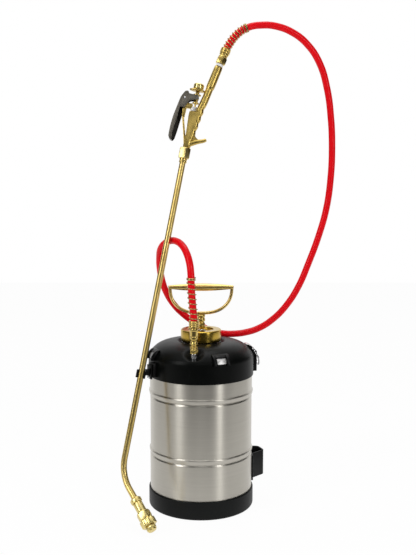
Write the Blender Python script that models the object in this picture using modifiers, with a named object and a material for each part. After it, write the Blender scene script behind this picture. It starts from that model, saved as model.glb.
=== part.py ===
"""Compressed-air hand sprayer: steel tank, brass piston pump, red hose, trigger valve and bent lance.

The tank's axis is Z and its boot stands on z = 0. The front, where the outlet is, looks along -Y.
Each function below makes one group of pieces, and every piece is one named object.
"""

import math

import bmesh
import bpy
import numpy as np
from mathutils import Matrix, Vector

# Clearances, in metres as everything here
CLEARANCE = 0.0003

# Tank
TANK_RADIUS = 0.0825
TANK_WALL = 0.0012
TANK_CORNER = 0.0080
TANK_SEAM_HEIGHT = 0.2195
DOME_RADIUS = 0.0300
DOME_ARC = math.radians(72)
DOME_RISE = 0.0020
BEAD_HEIGHTS = (0.0915, 0.1865)
BEAD_DEPTH = 0.0010
BEAD_HALF_WIDTH = 0.0036
PANEL_RECESS = 0.0005
NECK_OUTER = 0.0262
NECK_INNER = 0.0225
NECK_BELOW_DOME = 0.0040
NECK_RISE = 0.0565
NECK_TOP = TANK_SEAM_HEIGHT + NECK_RISE

# Boot
BOOT_WALL = 0.0020
BOOT_HEIGHT = 0.0300
BOOT_FLOOR = 0.0042
BOOT_ROUND = 0.0040

# Plastic top cap
CAP_WALL = 0.0017
CAP_LAP = 0.0047
CAP_BOTTOM = TANK_SEAM_HEIGHT - CAP_LAP
CAP_WALL_RISE = 0.0235
CAP_WALL_TOP = TANK_SEAM_HEIGHT + CAP_WALL_RISE
CAP_SHOULDER = 0.0140
CAP_SHOULDER_ARC = math.radians(57)
CAP_CROWN_RISE = 0.0485
CAP_CROWN = TANK_SEAM_HEIGHT + CAP_CROWN_RISE
CAP_CROWN_POWER = 4
CAP_HOLE = 0.0300
PAD_WIDTH = 0.0160
PAD_PROUD = 0.0065
PAD_ABOVE_RIM = 0.0042
PAD_BOTTOM = CAP_BOTTOM + PAD_ABOVE_RIM
PAD_ROOT = 0.0013
LANCE_PAD_ANGLE = math.radians(-60)
RING_PAD_ANGLE = math.radians(100)

# Strap fittings
CLIP_ANGLES = {"front": 22, "right": 100, "rear": 202, "left": -68}
CLIP_WIDTH = 0.0155
CLIP_SHEET = 0.0012
CLIP_INNER_REACH = 0.0110
CLIP_ARCH = 0.0045
CLIP_FOOT_DROP = 0.0010
RING_WIRE = 0.0013
RING_PLAY = 0.0016
RING_HINGE_TILT = math.radians(44)
RING_HALF_WIDTH = 0.0123
RING_LENGTH = 0.0313
RING_CORNER = 0.0030
BRACKET_ANGLE = math.radians(112)
BRACKET_SHEET = 0.0025
BRACKET_BOTTOM = 0.0360
BRACKET_HEIGHT = 0.0415
BRACKET_DEPTH = 0.0240
BRACKET_NOSE_HALF = 0.0130
BRACKET_ROOT_HALF = 0.0220
BRACKET_FOOT_HALF = 0.0340

# Pump
NUT_RADIUS = 0.0325
NUT_ABOVE_CAP = 0.0005
NUT_BOTTOM = CAP_CROWN + NUT_ABOVE_CAP
NUT_HEIGHT = 0.0190
NUT_TOP = NUT_BOTTOM + NUT_HEIGHT
NUT_CHAMFER = 0.0012
NUT_RECESS_RADIUS = 0.0200
NUT_RECESS = 0.0040
GASKET_THICKNESS = 0.0017
GASKET_INNER = 0.0205
FLANGE_THICKNESS = 0.0019
CYLINDER_RADIUS = 0.0190
CYLINDER_WALL = 0.0012
CYLINDER_BOTTOM = 0.0700
BUSH_RADIUS = 0.0080
BUSH_BELOW = 0.0045
BUSH_ABOVE = 0.0020
ROD_RADIUS = 0.0042
SEAT_BOTTOM = 0.0715
SEAT_HEIGHT = 0.0085
SEAT_PORT = 0.0040
VALVE_RADIUS = 0.0090
VALVE_DISC = 0.0030
VALVE_STEM = 0.0018
VALVE_HEAD = 0.0055
VALVE_LIFT = 0.0020
VALVE_HEAD_GAP = 0.0032
PISTON_BOTTOM = 0.0880
PISTON_NUT_HEIGHT = 0.0047
PISTON_NUT_RADIUS = 0.0075
CUP_HEIGHT = 0.0087
CUP_WALL = 0.0022
CUP_BASE = 0.0028
PLATE_HEIGHT = 0.0025
PLATE_RADIUS = 0.0165

# Pump handle: the grip's height is counted from the nut's top
GRIP_HEIGHT = 0.0673
GRIP_HALF_LENGTH = 0.0522
GRIP_END_RADIUS = 0.0029
GRIP_MID_RADIUS = 0.0060
BOW_RADIUS = 0.0026
BOW_HALF_SPAN = 0.0494
HUB_RADIUS = 0.0068
HUB_WAIST = 0.0050
HUB_FOOT_LENGTH = 0.0096
HUB_WAIST_LENGTH = 0.0023
HUB_BOTTOM = NUT_TOP + CLEARANCE
HUB_HEIGHT = 0.0229
HUB_SOCKET = 0.0170

# Outlet and hose fittings
OUTLET_ANGLE = math.radians(-8.77)
OUTLET_INSET = 0.01167
OUTLET_X = (TANK_RADIUS - OUTLET_INSET) * math.sin(OUTLET_ANGLE)
OUTLET_Y = -(TANK_RADIUS - OUTLET_INSET) * math.cos(OUTLET_ANGLE)
STUB_RADIUS = 0.0047
STUB_ROOT = 0.0105
STUB_BOTTOM = TANK_SEAM_HEIGHT + STUB_ROOT
POCKET_RADIUS = 0.0110
POCKET_RISE = 0.0105
POCKET_FLOOR = CAP_WALL_TOP + POCKET_RISE
STUB_PROUD = 0.0073
STUB_TOP = POCKET_FLOOR + STUB_PROUD
DIP_LAP = 0.0080
DIP_RADIUS = 0.0040
DIP_BOTTOM = 0.0110
STRAINER_RADIUS = 0.0065
STRAINER_BOTTOM = 0.0068
STRAINER_HEIGHT = 0.0220
SWIVEL_NUT_RADIUS = 0.0068
SWIVEL_NUT_LENGTH = 0.0107
SWIVEL_NECK_RADIUS = 0.0052
SWIVEL_NECK_LENGTH = 0.0108
SWIVEL_BODY_RADIUS = 0.0062
SWIVEL_BODY_LENGTH = 0.0180
FERRULE_RADIUS = 0.0080
FERRULE_LENGTH = 0.0110
FERRULE_GRIP = 0.0080

# Hose and its spring guards
HOSE_RADIUS = 0.0055
HOSE_POINT_SPACING = 0.0235
GUARDED_POINT_SPACING = 0.0075
GUARD_WIRE = 0.0008
GUARD_POINTS_A_TURN = 10
LOWER_GUARD_LENGTH = 0.0650
LOWER_GUARD_TURNS = 9
UPPER_GUARD_LENGTH = 0.0480
UPPER_GUARD_TURNS = 9

# Lance: the tube runs from its top to the corner of its bend and on to the tip
LANCE_TOP = Vector((-0.0247, -0.0134, 0.5716))
LANCE_CORNER = Vector((-0.12266, -0.08307, 0.07429))
LANCE_TIP = Vector((-0.0713, -0.1385, 0.0075))
LANCE_RADIUS = 0.00475
LANCE_BORE = 0.0035
LANCE_BEND = 0.0550
LANCE_BEND_STEPS = 10
LANCE_HOLD_RISE = 0.0127
LANCE_HOLD_HEIGHT = CAP_BOTTOM + LANCE_HOLD_RISE
LANCE_NUT_LENGTH = 0.0167
LANCE_NUT_RADIUS = 0.00925
LANCE_FERRULE_LENGTH = 0.0067
LANCE_FERRULE_RADIUS = 0.0060

# Clip that holds the lance
HOLDER_JAW = 0.0024
HOLDER_HEIGHT = 0.0120
HOLDER_OPENING = math.radians(110)
HOLDER_PLATE = 0.0025
HOLDER_PLATE_WIDTH = 0.0140
HOLDER_PLATE_HEIGHT = 0.0220
HOLDER_ARM_WIDTH = 0.0080
HOLDER_ARM_HEIGHT = 0.0096
HOLDER_SCREW_RADIUS = 0.0026
HOLDER_SCREW_RIM = 0.0018
HOLDER_SCREW_HEAD = 0.0014
HOLDER_SCREW_DROP = 0.0080

# Trigger valve, measured along the lance (up) and across it (right) from the lance's top
CASTING_BOTTOM = 0.0035
CASTING_DEPTH = 0.0150
LEG_DEPTH = 0.0070
LEG_WIDTH = 0.0032
BARREL_RADIUS = 0.0060
BARREL_FOOT = (0.0142, 0.0760)
BARREL_END = (0.02675, 0.1380)
BARREL_ROOT = 0.0035
FORK_TOP = 0.0865
BRIDGE_ABOVE_FORK = 0.0073
BRIDGE_HEIGHT = FORK_TOP + BRIDGE_ABOVE_FORK
BRIDGE_THICKNESS = 0.0024
BRIDGE_LEFT = -0.0115
BRIDGE_DEPTH = 0.0150
STEM_ACROSS = 0.0020
STEM_RADIUS = 0.0030
STEM_LOW_RADIUS = 0.0014
STEM_BOTTOM = 0.0340
STEM_SEAT = 0.0400
STEM_SEAT_RADIUS = 0.0031
STEM_BORE = 0.0036
STEM_BORE_BOTTOM = 0.0300
STEM_DISC = (0.0735, 0.0025, 0.0050)
STEM_COLLAR_THICKNESS = 0.0016
STEM_COLLAR_RADIUS = 0.0065
KNOB_RADIUS = 0.0076
KNOB_LENGTH = 0.0090
PACKING_BOTTOM = 0.0580
PACKING_LIP = 0.0612
PACKING_TOP = 0.0680
PACKING_RADIUS = 0.0056
SPRING_WIRE = 0.0005
SPRING_TURNS = 6
SPRING_RADIUS = 0.0026
PIVOT = (-0.0156, 0.0789)
PIVOT_BOSS = 0.0046
PIVOT_BOSS_DEPTH = 0.0090
PIVOT_BOSS_SIDES = 18
PIN_RADIUS = 0.0018
LEVER_WIDTH = 0.0135
LEVER_SHEET = 0.0015
LEVER_WEB = 0.0018
FORK_END = 0.0060
FORK_DEPTH = 0.0050
FORK_NOSE = 0.0010
FORK_ROOTS = (-0.0090, -0.0085)
LEVER_INNER = ((-0.0130, 0.0690), (-0.0180, 0.0590), (-0.0212, 0.0450), (-0.0216, 0.0250), (-0.0205, 0.0135))
LEVER_TOE = ((-0.0224, 0.0107), (-0.0268, 0.0118))
LEVER_OUTER = ((-0.0298, 0.0160), (-0.0298, 0.0310), (-0.0283, 0.0480), (-0.0248, 0.0665), (-0.0220, 0.0815))
LEVER_CORNER = ((-0.0150, 0.0905), (-0.0110, 0.0905))
CASTING_LEFT = ((-0.0035, 0.0260), (-0.0050, 0.0520), (-0.0045, 0.0605))
CASTING_NECK = ((0.0075, 0.0605), (0.0085, 0.0720))
CASTING_BACK = (
    (0.0185, 0.0790), (0.0156, 0.0690), (0.0150, 0.0620), (0.0135, 0.0560), (0.0138, 0.0500),
    (0.0118, 0.0430), (0.0118, 0.0370), (0.0098, 0.0320), (0.0104, 0.0270),
)
CASTING_HOOK = (
    (0.0130, 0.0225), (0.0180, 0.0200), (0.0240, 0.0197), (0.0298, 0.0213), (0.0296, 0.0175),
    (0.0230, 0.0140), (0.0150, 0.0110), (0.0095, 0.0085),
)
CASTING_FOOT = (-0.0045, 0.0070)
LEG_LINE = ((-0.0020, 0.0055), (-0.0070, 0.0280), (-0.0131, 0.0500))

# Hose coupling on the trigger valve
TAPE_LENGTH = 0.0040
TAPE_RADIUS = 0.0056
COUPLING_LENGTH = 0.0170
COUPLING_RADIUS = 0.0082
UPPER_FERRULE_LENGTH = 0.0080
UPPER_FERRULE_GRIP = 0.0060

# Lance tip, measured back from its end
NOZZLE_LENGTH = 0.0086
NOZZLE_RADIUS = 0.0086
NOZZLE_MOUTH = 0.0060
NOZZLE_CHAMFER = 0.0026
SELECTOR_LENGTH = 0.0105
SELECTOR_RADIUS = 0.0120
SELECTOR_SCALLOPS = 8
SCALLOP_RADIUS = 0.0022
TIP_NUT_LENGTH = 0.0130
TIP_NUT_RADIUS = 0.0108
TIP_SLEEVE_LENGTH = 0.0160
TIP_SLEEVE_RADIUS = 0.0073
TIP_COLLAR_LENGTH = 0.0086
TIP_COLLAR_RADIUS = 0.0088

# Hose route between its two fittings, chosen by hand, and the two mouths that it was drawn between
ROUTE_START = Vector((-0.0108, -0.0700, 0.3122))
ROUTE_END = Vector((0.0394, 0.0085, 0.7280))
ROUTE_LOOP_POINTS = 12
HOSE_ROUTE = (
    (-0.0127, -0.0700, 0.3360),
    (-0.0147, -0.0700, 0.3640),
    (-0.0153, -0.0700, 0.3840),
    (-0.0172, -0.0668, 0.3995),
    (-0.0217, -0.0589, 0.4140),
    (-0.0291, -0.0464, 0.4255),
    (-0.0391, -0.0315, 0.4310),
    (-0.0476, -0.0209, 0.4307),
    (-0.0562, -0.0106, 0.4265),
    (-0.0643, 0.0037, 0.4157),
    (-0.0670, 0.0187, 0.4000),
    (-0.0669, 0.0285, 0.3830),
    (-0.0637, 0.0350, 0.3615),
    (-0.0560, 0.0405, 0.3390),
    (-0.0430, 0.0505, 0.3170),
    (-0.0318, 0.0559, 0.3045),
    (-0.0167, 0.0590, 0.2920),
    (0.0034, 0.0600, 0.2800),
    (0.0219, 0.0590, 0.2720),
    (0.0387, 0.0580, 0.2690),
    (0.0554, 0.0580, 0.2687),
    (0.0746, 0.0585, 0.2710),
    (0.0973, 0.0605, 0.2780),
    (0.1220, 0.0640, 0.2935),
    (0.1449, 0.0680, 0.3170),
    (0.1645, 0.0710, 0.3480),
    (0.1798, 0.0730, 0.3840),
    (0.1980, 0.0735, 0.4350),
    (0.2092, 0.0720, 0.4790),
    (0.2149, 0.0685, 0.5300),
    (0.2155, 0.0640, 0.5800),
    (0.2121, 0.0590, 0.6260),
    (0.2045, 0.0530, 0.6710),
    (0.1905, 0.0460, 0.7115),
    (0.1700, 0.0390, 0.7395),
    (0.1450, 0.0330, 0.7575),
    (0.1159, 0.0265, 0.7665),
    (0.0959, 0.0225, 0.7670),
    (0.0768, 0.0188, 0.7638),
    (0.0603, 0.0152, 0.7553),
)

# Materials: colour, roughness, metallic
FINISHES = {
    "brushed_steel": ((0.62, 0.61, 0.60), 0.32, 1.0),
    "plain_steel": ((0.46, 0.46, 0.47), 0.40, 1.0),
    "cast_brass": ((0.72, 0.52, 0.18), 0.34, 1.0),
    "polished_brass": ((0.80, 0.62, 0.25), 0.22, 1.0),
    "black_plastic": ((0.012, 0.012, 0.013), 0.42, 0.0),
    "black_rubber": ((0.016, 0.016, 0.016), 0.70, 0.0),
    "red_hose": ((0.68, 0.012, 0.020), 0.38, 0.0),
    "white_tape": ((0.82, 0.82, 0.80), 0.60, 0.0),
    "leather": ((0.20, 0.10, 0.045), 0.75, 0.0),
    "clear_tube": ((0.62, 0.60, 0.52), 0.35, 0.0),
}

BIG_STEPS = 36
MID_STEPS = 24
SMALL_STEPS = 16
HEX_SIDES = 6
MERGE = 1e-6


# Scene and materials
def start_scene():
    for old in list(bpy.data.objects):
        bpy.data.objects.remove(old, do_unlink=True)
    for name in ("pump_sprayer", "cutters"):
        collection = bpy.data.collections.new(name)
        bpy.context.scene.collection.children.link(collection)


def finish_of(name):
    made = bpy.data.materials.get(name)
    if made:
        return made
    colour, roughness, metallic = FINISHES[name]
    made = bpy.data.materials.new(name)
    made.use_nodes = True
    shader = made.node_tree.nodes["Principled BSDF"]
    shader.inputs["Base Color"].default_value = (*colour, 1.0)
    shader.inputs["Roughness"].default_value = roughness
    shader.inputs["Metallic"].default_value = metallic
    return made


def place(name, data, finish, frame=None):
    piece = bpy.data.objects.new(name, data)
    bpy.data.collections["pump_sprayer"].objects.link(piece)
    data.materials.append(finish_of(finish))
    piece.parent = frame
    return piece


def empty_frame(name, matrix):
    frame = bpy.data.objects.new(name, None)
    bpy.data.collections["pump_sprayer"].objects.link(frame)
    frame.matrix_world = matrix
    return frame


def frame_along(name, origin, up, right):
    """An empty whose Z is up and whose X is right, made square to it."""
    up = Vector(up).normalized()
    right = Vector(right)
    right = (right - right.dot(up) * up).normalized()
    matrix = Matrix((right, up.cross(right), up)).transposed().to_4x4()
    matrix.translation = origin
    return empty_frame(name, matrix)


# Shapes
def turned(name, profile, finish, steps=MID_STEPS, frame=None):
    """A profile of (radius, height) turned about Z, listed down its outer side."""
    mesh = bpy.data.meshes.new(name)
    count = len(profile)
    edges = [(i, i + 1) for i in range(count - 1)]
    on_axis = profile[0][0] < MERGE and profile[-1][0] < MERGE
    if not on_axis:
        edges.append((count - 1, 0))
    mesh.from_pydata([(radius, 0.0, height) for radius, height in profile], edges, [])
    piece = place(name, mesh, finish, frame)
    screw = piece.modifiers.new("turn", "SCREW")
    screw.axis = "Z"
    screw.steps = steps
    screw.render_steps = steps
    screw.use_merge_vertices = True
    screw.merge_threshold = MERGE
    screw.use_smooth_shade = True
    return piece


def ring_profile(outer, inner, bottom, top):
    return [(outer, top), (outer, bottom), (inner, bottom), (inner, top)]


def solid_profile(radius, bottom, top):
    return [(0.0, top), (radius, top), (radius, bottom), (0.0, bottom)]


def arc(centre, radius, start, end, count):
    angles = np.linspace(start, end, count)
    return [(centre[0] + radius * math.cos(a), centre[1] + radius * math.sin(a)) for a in angles]


def wire(name, points, radius, finish, closed=False, resolution=2, frame=None):
    curve = bpy.data.curves.new(name, "CURVE")
    curve.dimensions = "3D"
    spline = curve.splines.new("POLY")
    spline.points.add(len(points) - 1)
    for point, place_of in zip(spline.points, points):
        point.co = (*place_of, 1.0)
    spline.use_cyclic_u = closed
    spline.use_smooth = True
    curve.bevel_depth = radius
    curve.bevel_resolution = resolution
    curve.use_fill_caps = True
    curve.render_resolution_u = 0
    return place(name, curve, finish, frame)


def plate(name, outlines, thickness, finish, frame=None):
    """Flat outlines of (across, up), filled and given a thickness square to them, along Y."""
    curve = bpy.data.curves.new(name, "CURVE")
    curve.dimensions = "2D"
    curve.fill_mode = "BOTH"
    curve.extrude = thickness / 2
    curve.render_resolution_u = 0
    for outline in outlines:
        spline = curve.splines.new("POLY")
        spline.points.add(len(outline) - 1)
        for point, (across, up) in zip(spline.points, outline):
            point.co = (across, up, 0.0, 1.0)
        spline.use_cyclic_u = True
    piece = place(name, curve, finish, frame)
    piece.rotation_euler = (math.pi / 2, 0.0, 0.0)
    return piece


def as_mesh(piece):
    """The same piece as a welded mesh, so that it can be cut or joined."""
    bpy.context.view_layer.update()
    evaluated = piece.evaluated_get(bpy.context.evaluated_depsgraph_get())
    mesh = bpy.data.meshes.new_from_object(evaluated)
    shape = bmesh.new()
    shape.from_mesh(mesh)
    bmesh.ops.remove_doubles(shape, verts=shape.verts, dist=MERGE)
    bmesh.ops.recalc_face_normals(shape, faces=shape.faces)
    shape.to_mesh(mesh)
    shape.free()
    name = piece.name
    matrix = piece.matrix_world.copy()
    bpy.data.objects.remove(piece, do_unlink=True)
    made = bpy.data.objects.new(name, mesh)
    bpy.data.collections["pump_sprayer"].objects.link(made)
    made.matrix_world = matrix
    return made


def block(name, size, centre, finish, matrix=None):
    shape = bmesh.new()
    bmesh.ops.create_cube(shape, size=1.0)
    bmesh.ops.scale(shape, vec=size, verts=shape.verts)
    bmesh.ops.translate(shape, vec=centre, verts=shape.verts)
    mesh = bpy.data.meshes.new(name)
    shape.to_mesh(mesh)
    shape.free()
    piece = place(name, mesh, finish)
    if matrix is not None:
        piece.matrix_world = matrix
    return piece


def combine(piece, tool, operation, solver="EXACT"):
    """Join a tool to a piece, or cut it out, with the tool kept as a hidden guide."""
    step = piece.modifiers.new(tool.name, "BOOLEAN")
    step.operation = operation
    step.solver = solver
    step.object = tool
    bpy.data.collections["pump_sprayer"].objects.unlink(tool)
    bpy.data.collections["cutters"].objects.link(tool)
    tool.hide_render = True
    tool.display_type = "WIRE"


def hexagon(radius):
    return arc((0.0, 0.0), radius, 0.0, math.tau * (1 - 1 / HEX_SIDES), HEX_SIDES)


def hex_nut(name, radius, bore, bottom, top, finish, frame):
    """A six-sided nut with a round bore, standing on its frame's Z."""
    circle = arc((0.0, 0.0), bore, 0.0, math.tau * (1 - 1 / SMALL_STEPS), SMALL_STEPS)
    nut = plate(name, [hexagon(radius), circle], top - bottom, finish, frame)
    nut.rotation_euler = (0.0, 0.0, 0.0)
    nut.location = (0.0, 0.0, (top + bottom) / 2)
    return nut


def ribbon(points, thickness):
    """The outline of a bent strip whose middle runs through the points."""
    points = [Vector(p) for p in points]
    left = []
    right = []
    for i, point in enumerate(points):
        before = (point - points[i - 1]).normalized() if i else None
        after = (points[i + 1] - point).normalized() if i + 1 < len(points) else None
        along = (before or after) if not (before and after) else (before + after).normalized()
        side = Vector((-along.y, along.x))
        widen = 1.0 if not (before and after) else 1.0 / max(along.dot(before), 0.5)
        left.append(tuple(point + side * widen * thickness / 2))
        right.append(tuple(point - side * widen * thickness / 2))
    return left + right[::-1]


# Tank
def tank_side(offset):
    """The tank wall's side from its top to its bottom, with two rolled beads, moved in by offset."""
    low, high = BEAD_HEIGHTS
    panel = TANK_RADIUS - PANEL_RECESS
    side = [(TANK_RADIUS, TANK_SEAM_HEIGHT - CLEARANCE)]
    for centre, above, below in ((high, TANK_RADIUS, panel), (low, panel, TANK_RADIUS)):
        side.append((above, centre + BEAD_HALF_WIDTH))
        side.append((panel - BEAD_DEPTH, centre + BEAD_HALF_WIDTH / 3))
        side.append((panel - BEAD_DEPTH, centre - BEAD_HALF_WIDTH / 3))
        side.append((below, centre - BEAD_HALF_WIDTH))
    side.append((TANK_RADIUS, tank_floor() + TANK_CORNER + CLEARANCE))
    return [(radius - offset, height) for radius, height in side]


def tank_floor():
    return BOOT_FLOOR + CLEARANCE


def dome_side(offset):
    """The dome from the neck's weld out and down to the seam, moved in by offset."""
    centre = (TANK_RADIUS - DOME_RADIUS, TANK_SEAM_HEIGHT)
    shoulder = arc(centre, DOME_RADIUS - offset, DOME_ARC, 0.0, 6)
    weld = (NECK_OUTER + CLEARANCE, dome_weld_height() - offset)
    return [weld] + shoulder


def dome_weld_height():
    return TANK_SEAM_HEIGHT + DOME_RADIUS * math.sin(DOME_ARC) + DOME_RISE


def make_tank():
    turned("tank_wall", tank_side(0.0) + tank_side(TANK_WALL)[::-1], "brushed_steel", BIG_STEPS)
    centre = (TANK_RADIUS - TANK_CORNER, tank_floor() + TANK_CORNER)
    outside = arc(centre, TANK_CORNER, 0.0, -math.pi / 2, 4) + [(0.0, tank_floor())]
    inside = arc(centre, TANK_CORNER - TANK_WALL, 0.0, -math.pi / 2, 4)
    inside += [(0.0, tank_floor() + TANK_WALL)]
    turned("tank_bottom", inside[::-1] + outside, "brushed_steel", BIG_STEPS)
    dome = turned("tank_dome", dome_side(0.0) + dome_side(TANK_WALL)[::-1], "brushed_steel", BIG_STEPS)
    combine(dome, outlet_hole("dome_outlet_hole", STUB_BOTTOM, CAP_CROWN), "DIFFERENCE")
    neck_bottom = dome_weld_height() - NECK_BELOW_DOME
    neck = ring_profile(NECK_OUTER, NECK_INNER, neck_bottom, NECK_TOP)
    turned("tank_neck", neck, "brushed_steel", BIG_STEPS)


def outlet_hole(name, bottom, top):
    hole = turned(name, solid_profile(STUB_RADIUS + CLEARANCE, bottom, top), "plain_steel", SMALL_STEPS)
    hole.location = (OUTLET_X, OUTLET_Y, 0.0)
    return hole


def make_boot():
    outer = TANK_RADIUS + CLEARANCE + BOOT_WALL
    foot = arc((outer - BOOT_ROUND, BOOT_ROUND), BOOT_ROUND, 0.0, -math.pi / 2, 5)
    inner = TANK_RADIUS + CLEARANCE
    well = [(0.0, BOOT_FLOOR), (inner, BOOT_FLOOR), (inner, BOOT_HEIGHT), (outer, BOOT_HEIGHT)]
    turned("base_boot", well + foot + [(0.0, 0.0)], "black_plastic", BIG_STEPS)


# Top cap
def cap_radius():
    return TANK_RADIUS + CLEARANCE + CAP_WALL


def shoulder_end():
    radius = cap_radius() - CAP_SHOULDER + CAP_SHOULDER * math.cos(CAP_SHOULDER_ARC)
    return radius, CAP_WALL_TOP + CAP_SHOULDER * math.sin(CAP_SHOULDER_ARC)


def cap_height(radius):
    """The crown's height at a radius inside the shoulder."""
    edge, height = shoulder_end()
    return CAP_CROWN - (CAP_CROWN - height) * (radius / edge) ** CAP_CROWN_POWER


def cap_side(offset):
    edge, _ = shoulder_end()
    crown = [(r, cap_height(r) - offset) for r in np.linspace(CAP_HOLE, edge, 5)]
    centre = (cap_radius() - CAP_SHOULDER, CAP_WALL_TOP)
    shoulder = arc(centre, CAP_SHOULDER - offset, CAP_SHOULDER_ARC, 0.0, 5)
    return crown[:-1] + shoulder + [(cap_radius() - offset, CAP_BOTTOM)]


def turn_to(angle):
    """The turn about Z that points +X to an angle counted from the front towards the right."""
    return Matrix.Rotation(angle - math.pi / 2, 4, "Z")


def pad_face():
    return cap_radius() + PAD_PROUD


def pad_top():
    """The pads end under the feet of the strap clips."""
    return CAP_WALL_TOP - CLIP_FOOT_DROP - 2 * CLEARANCE


def make_cap():
    cap = turned("top_cap", cap_side(0.0) + cap_side(CAP_WALL)[::-1], "black_plastic", BIG_STEPS)
    root = cap_radius() - PAD_ROOT
    size = (pad_face() - root, PAD_WIDTH, pad_top() - PAD_BOTTOM)
    centre = ((pad_face() + root) / 2, 0.0, (pad_top() + PAD_BOTTOM) / 2)
    for name, angle in (("lance_pad", LANCE_PAD_ANGLE), ("ring_pad", RING_PAD_ANGLE)):
        pad = block(name, size, centre, "black_plastic", turn_to(angle))
        combine(cap, pad, "UNION", "MANIFOLD")
    reach = math.hypot(OUTLET_X, OUTLET_Y)
    pocket_top = cap_height(reach - POCKET_RADIUS - CAP_WALL) - CAP_WALL / 2
    cup_profile = solid_profile(POCKET_RADIUS + CAP_WALL, POCKET_FLOOR - CAP_WALL, pocket_top)
    well_profile = solid_profile(POCKET_RADIUS, POCKET_FLOOR, CAP_CROWN + CAP_WALL)
    for name, profile, operation in (
        ("outlet_cup", cup_profile, "UNION"),
        ("outlet_well", well_profile, "DIFFERENCE"),
    ):
        tool = turned(name, profile, "black_plastic", MID_STEPS)
        tool.location = (OUTLET_X, OUTLET_Y, 0.0)
        combine(cap, tool, operation, "MANIFOLD")
    combine(cap, outlet_hole("cap_outlet_hole", STUB_BOTTOM, CAP_CROWN), "DIFFERENCE", "MANIFOLD")


# Strap clips, ring and bracket
def clip_line():
    """The middle of a strap clip in (radius, height), from its foot on the crown to its foot on the wall."""
    stand = CLEARANCE + CLIP_SHEET / 2
    inner = cap_radius() - CLIP_INNER_REACH
    arch = CLIP_ARCH + CLIP_SHEET / 2
    middle = (cap_radius() - CAP_SHOULDER, CAP_WALL_TOP)
    knees = arc(middle, CAP_SHOULDER + arch, math.radians(62), math.radians(22), 3)
    knees = [(min(r, cap_radius() + arch / 2), z) for r, z in knees]
    foot = (cap_radius() + stand, CAP_WALL_TOP - CLIP_FOOT_DROP)
    start = (inner, cap_height(inner) + stand)
    return [start] + knees + [(cap_radius() + stand, CAP_WALL_TOP + stand), foot]


def make_clips():
    outline = ribbon(clip_line(), CLIP_SHEET)
    for side, degrees in CLIP_ANGLES.items():
        clip = plate("strap_clip_" + side, [outline], CLIP_WIDTH, "brushed_steel")
        clip.rotation_euler = (math.pi / 2, 0.0, math.radians(degrees) - math.pi / 2)


def ring_hinge():
    """Where the ring's straight side lies under its clip, in (radius, height)."""
    lift = CAP_SHOULDER + RING_PLAY + RING_WIRE
    tilt = RING_HINGE_TILT
    return cap_radius() - CAP_SHOULDER + lift * math.cos(tilt), CAP_WALL_TOP + lift * math.sin(tilt)


def ring_lean():
    """The ring's lean from straight down, with its bow resting on the pad's two edges."""
    radius, _ = ring_hinge()
    rest = pad_face() + CLEARANCE + RING_WIRE
    edge = (PAD_WIDTH / 2 + RING_WIRE) / RING_HALF_WIDTH
    touch = RING_LENGTH - RING_LENGTH / 2 * (1.0 - math.sqrt(1.0 - edge * edge))
    return math.asin((rest - radius) / touch)


def make_strap_ring():
    half = RING_HALF_WIDTH
    corner = RING_CORNER
    bow_depth = RING_LENGTH / 2
    bow = arc((0.0, 0.0), 1.0, 0.0, math.pi, 13)
    loop = arc((-half + corner, -corner), corner, math.pi, math.pi / 2, 4)
    loop += arc((half - corner, -corner), corner, math.pi / 2, 0.0, 4)
    loop += [(half * x, -RING_LENGTH + bow_depth - bow_depth * y) for x, y in bow]
    radius, height = ring_hinge()
    hinge = turn_to(RING_PAD_ANGLE) @ Matrix.Translation((radius, 0.0, height))
    frame = empty_frame("strap_ring_hinge", hinge @ Matrix.Rotation(-ring_lean(), 4, "Y"))
    points = [(0.0, across, down) for across, down in loop]
    wire("strap_ring", points, RING_WIRE, "plain_steel", closed=True, frame=frame)


def make_strap_bracket():
    wall = TANK_RADIUS + CLEARANCE + BRACKET_SHEET / 2
    nose = wall + BRACKET_DEPTH

    def on_wall(across):
        return math.sqrt(wall * wall - across * across), across

    half = [on_wall(BRACKET_FOOT_HALF), on_wall((BRACKET_FOOT_HALF + BRACKET_ROOT_HALF) / 2)]
    half += [on_wall(BRACKET_ROOT_HALF)]
    bend = BRACKET_NOSE_HALF / 2
    half += arc((nose - bend, BRACKET_NOSE_HALF - bend), bend, math.radians(70), 0.0, 4)
    line = half + [(r, -y) for r, y in reversed(half)]
    bracket = plate("strap_bracket", [ribbon(line, BRACKET_SHEET)], BRACKET_HEIGHT, "black_plastic")
    bracket.rotation_euler = (0.0, 0.0, BRACKET_ANGLE - math.pi / 2)
    bracket.location = (0.0, 0.0, BRACKET_BOTTOM + BRACKET_HEIGHT / 2)


# Pump
def gasket_bottom():
    return NECK_TOP + CLEARANCE


def flange_bottom():
    return gasket_bottom() + GASKET_THICKNESS + CLEARANCE


def nut_ceiling():
    return flange_bottom() + FLANGE_THICKNESS + CLEARANCE


def recess_floor():
    return NUT_TOP - NUT_RECESS


def flange_radius():
    return NECK_OUTER - CLEARANCE


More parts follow.
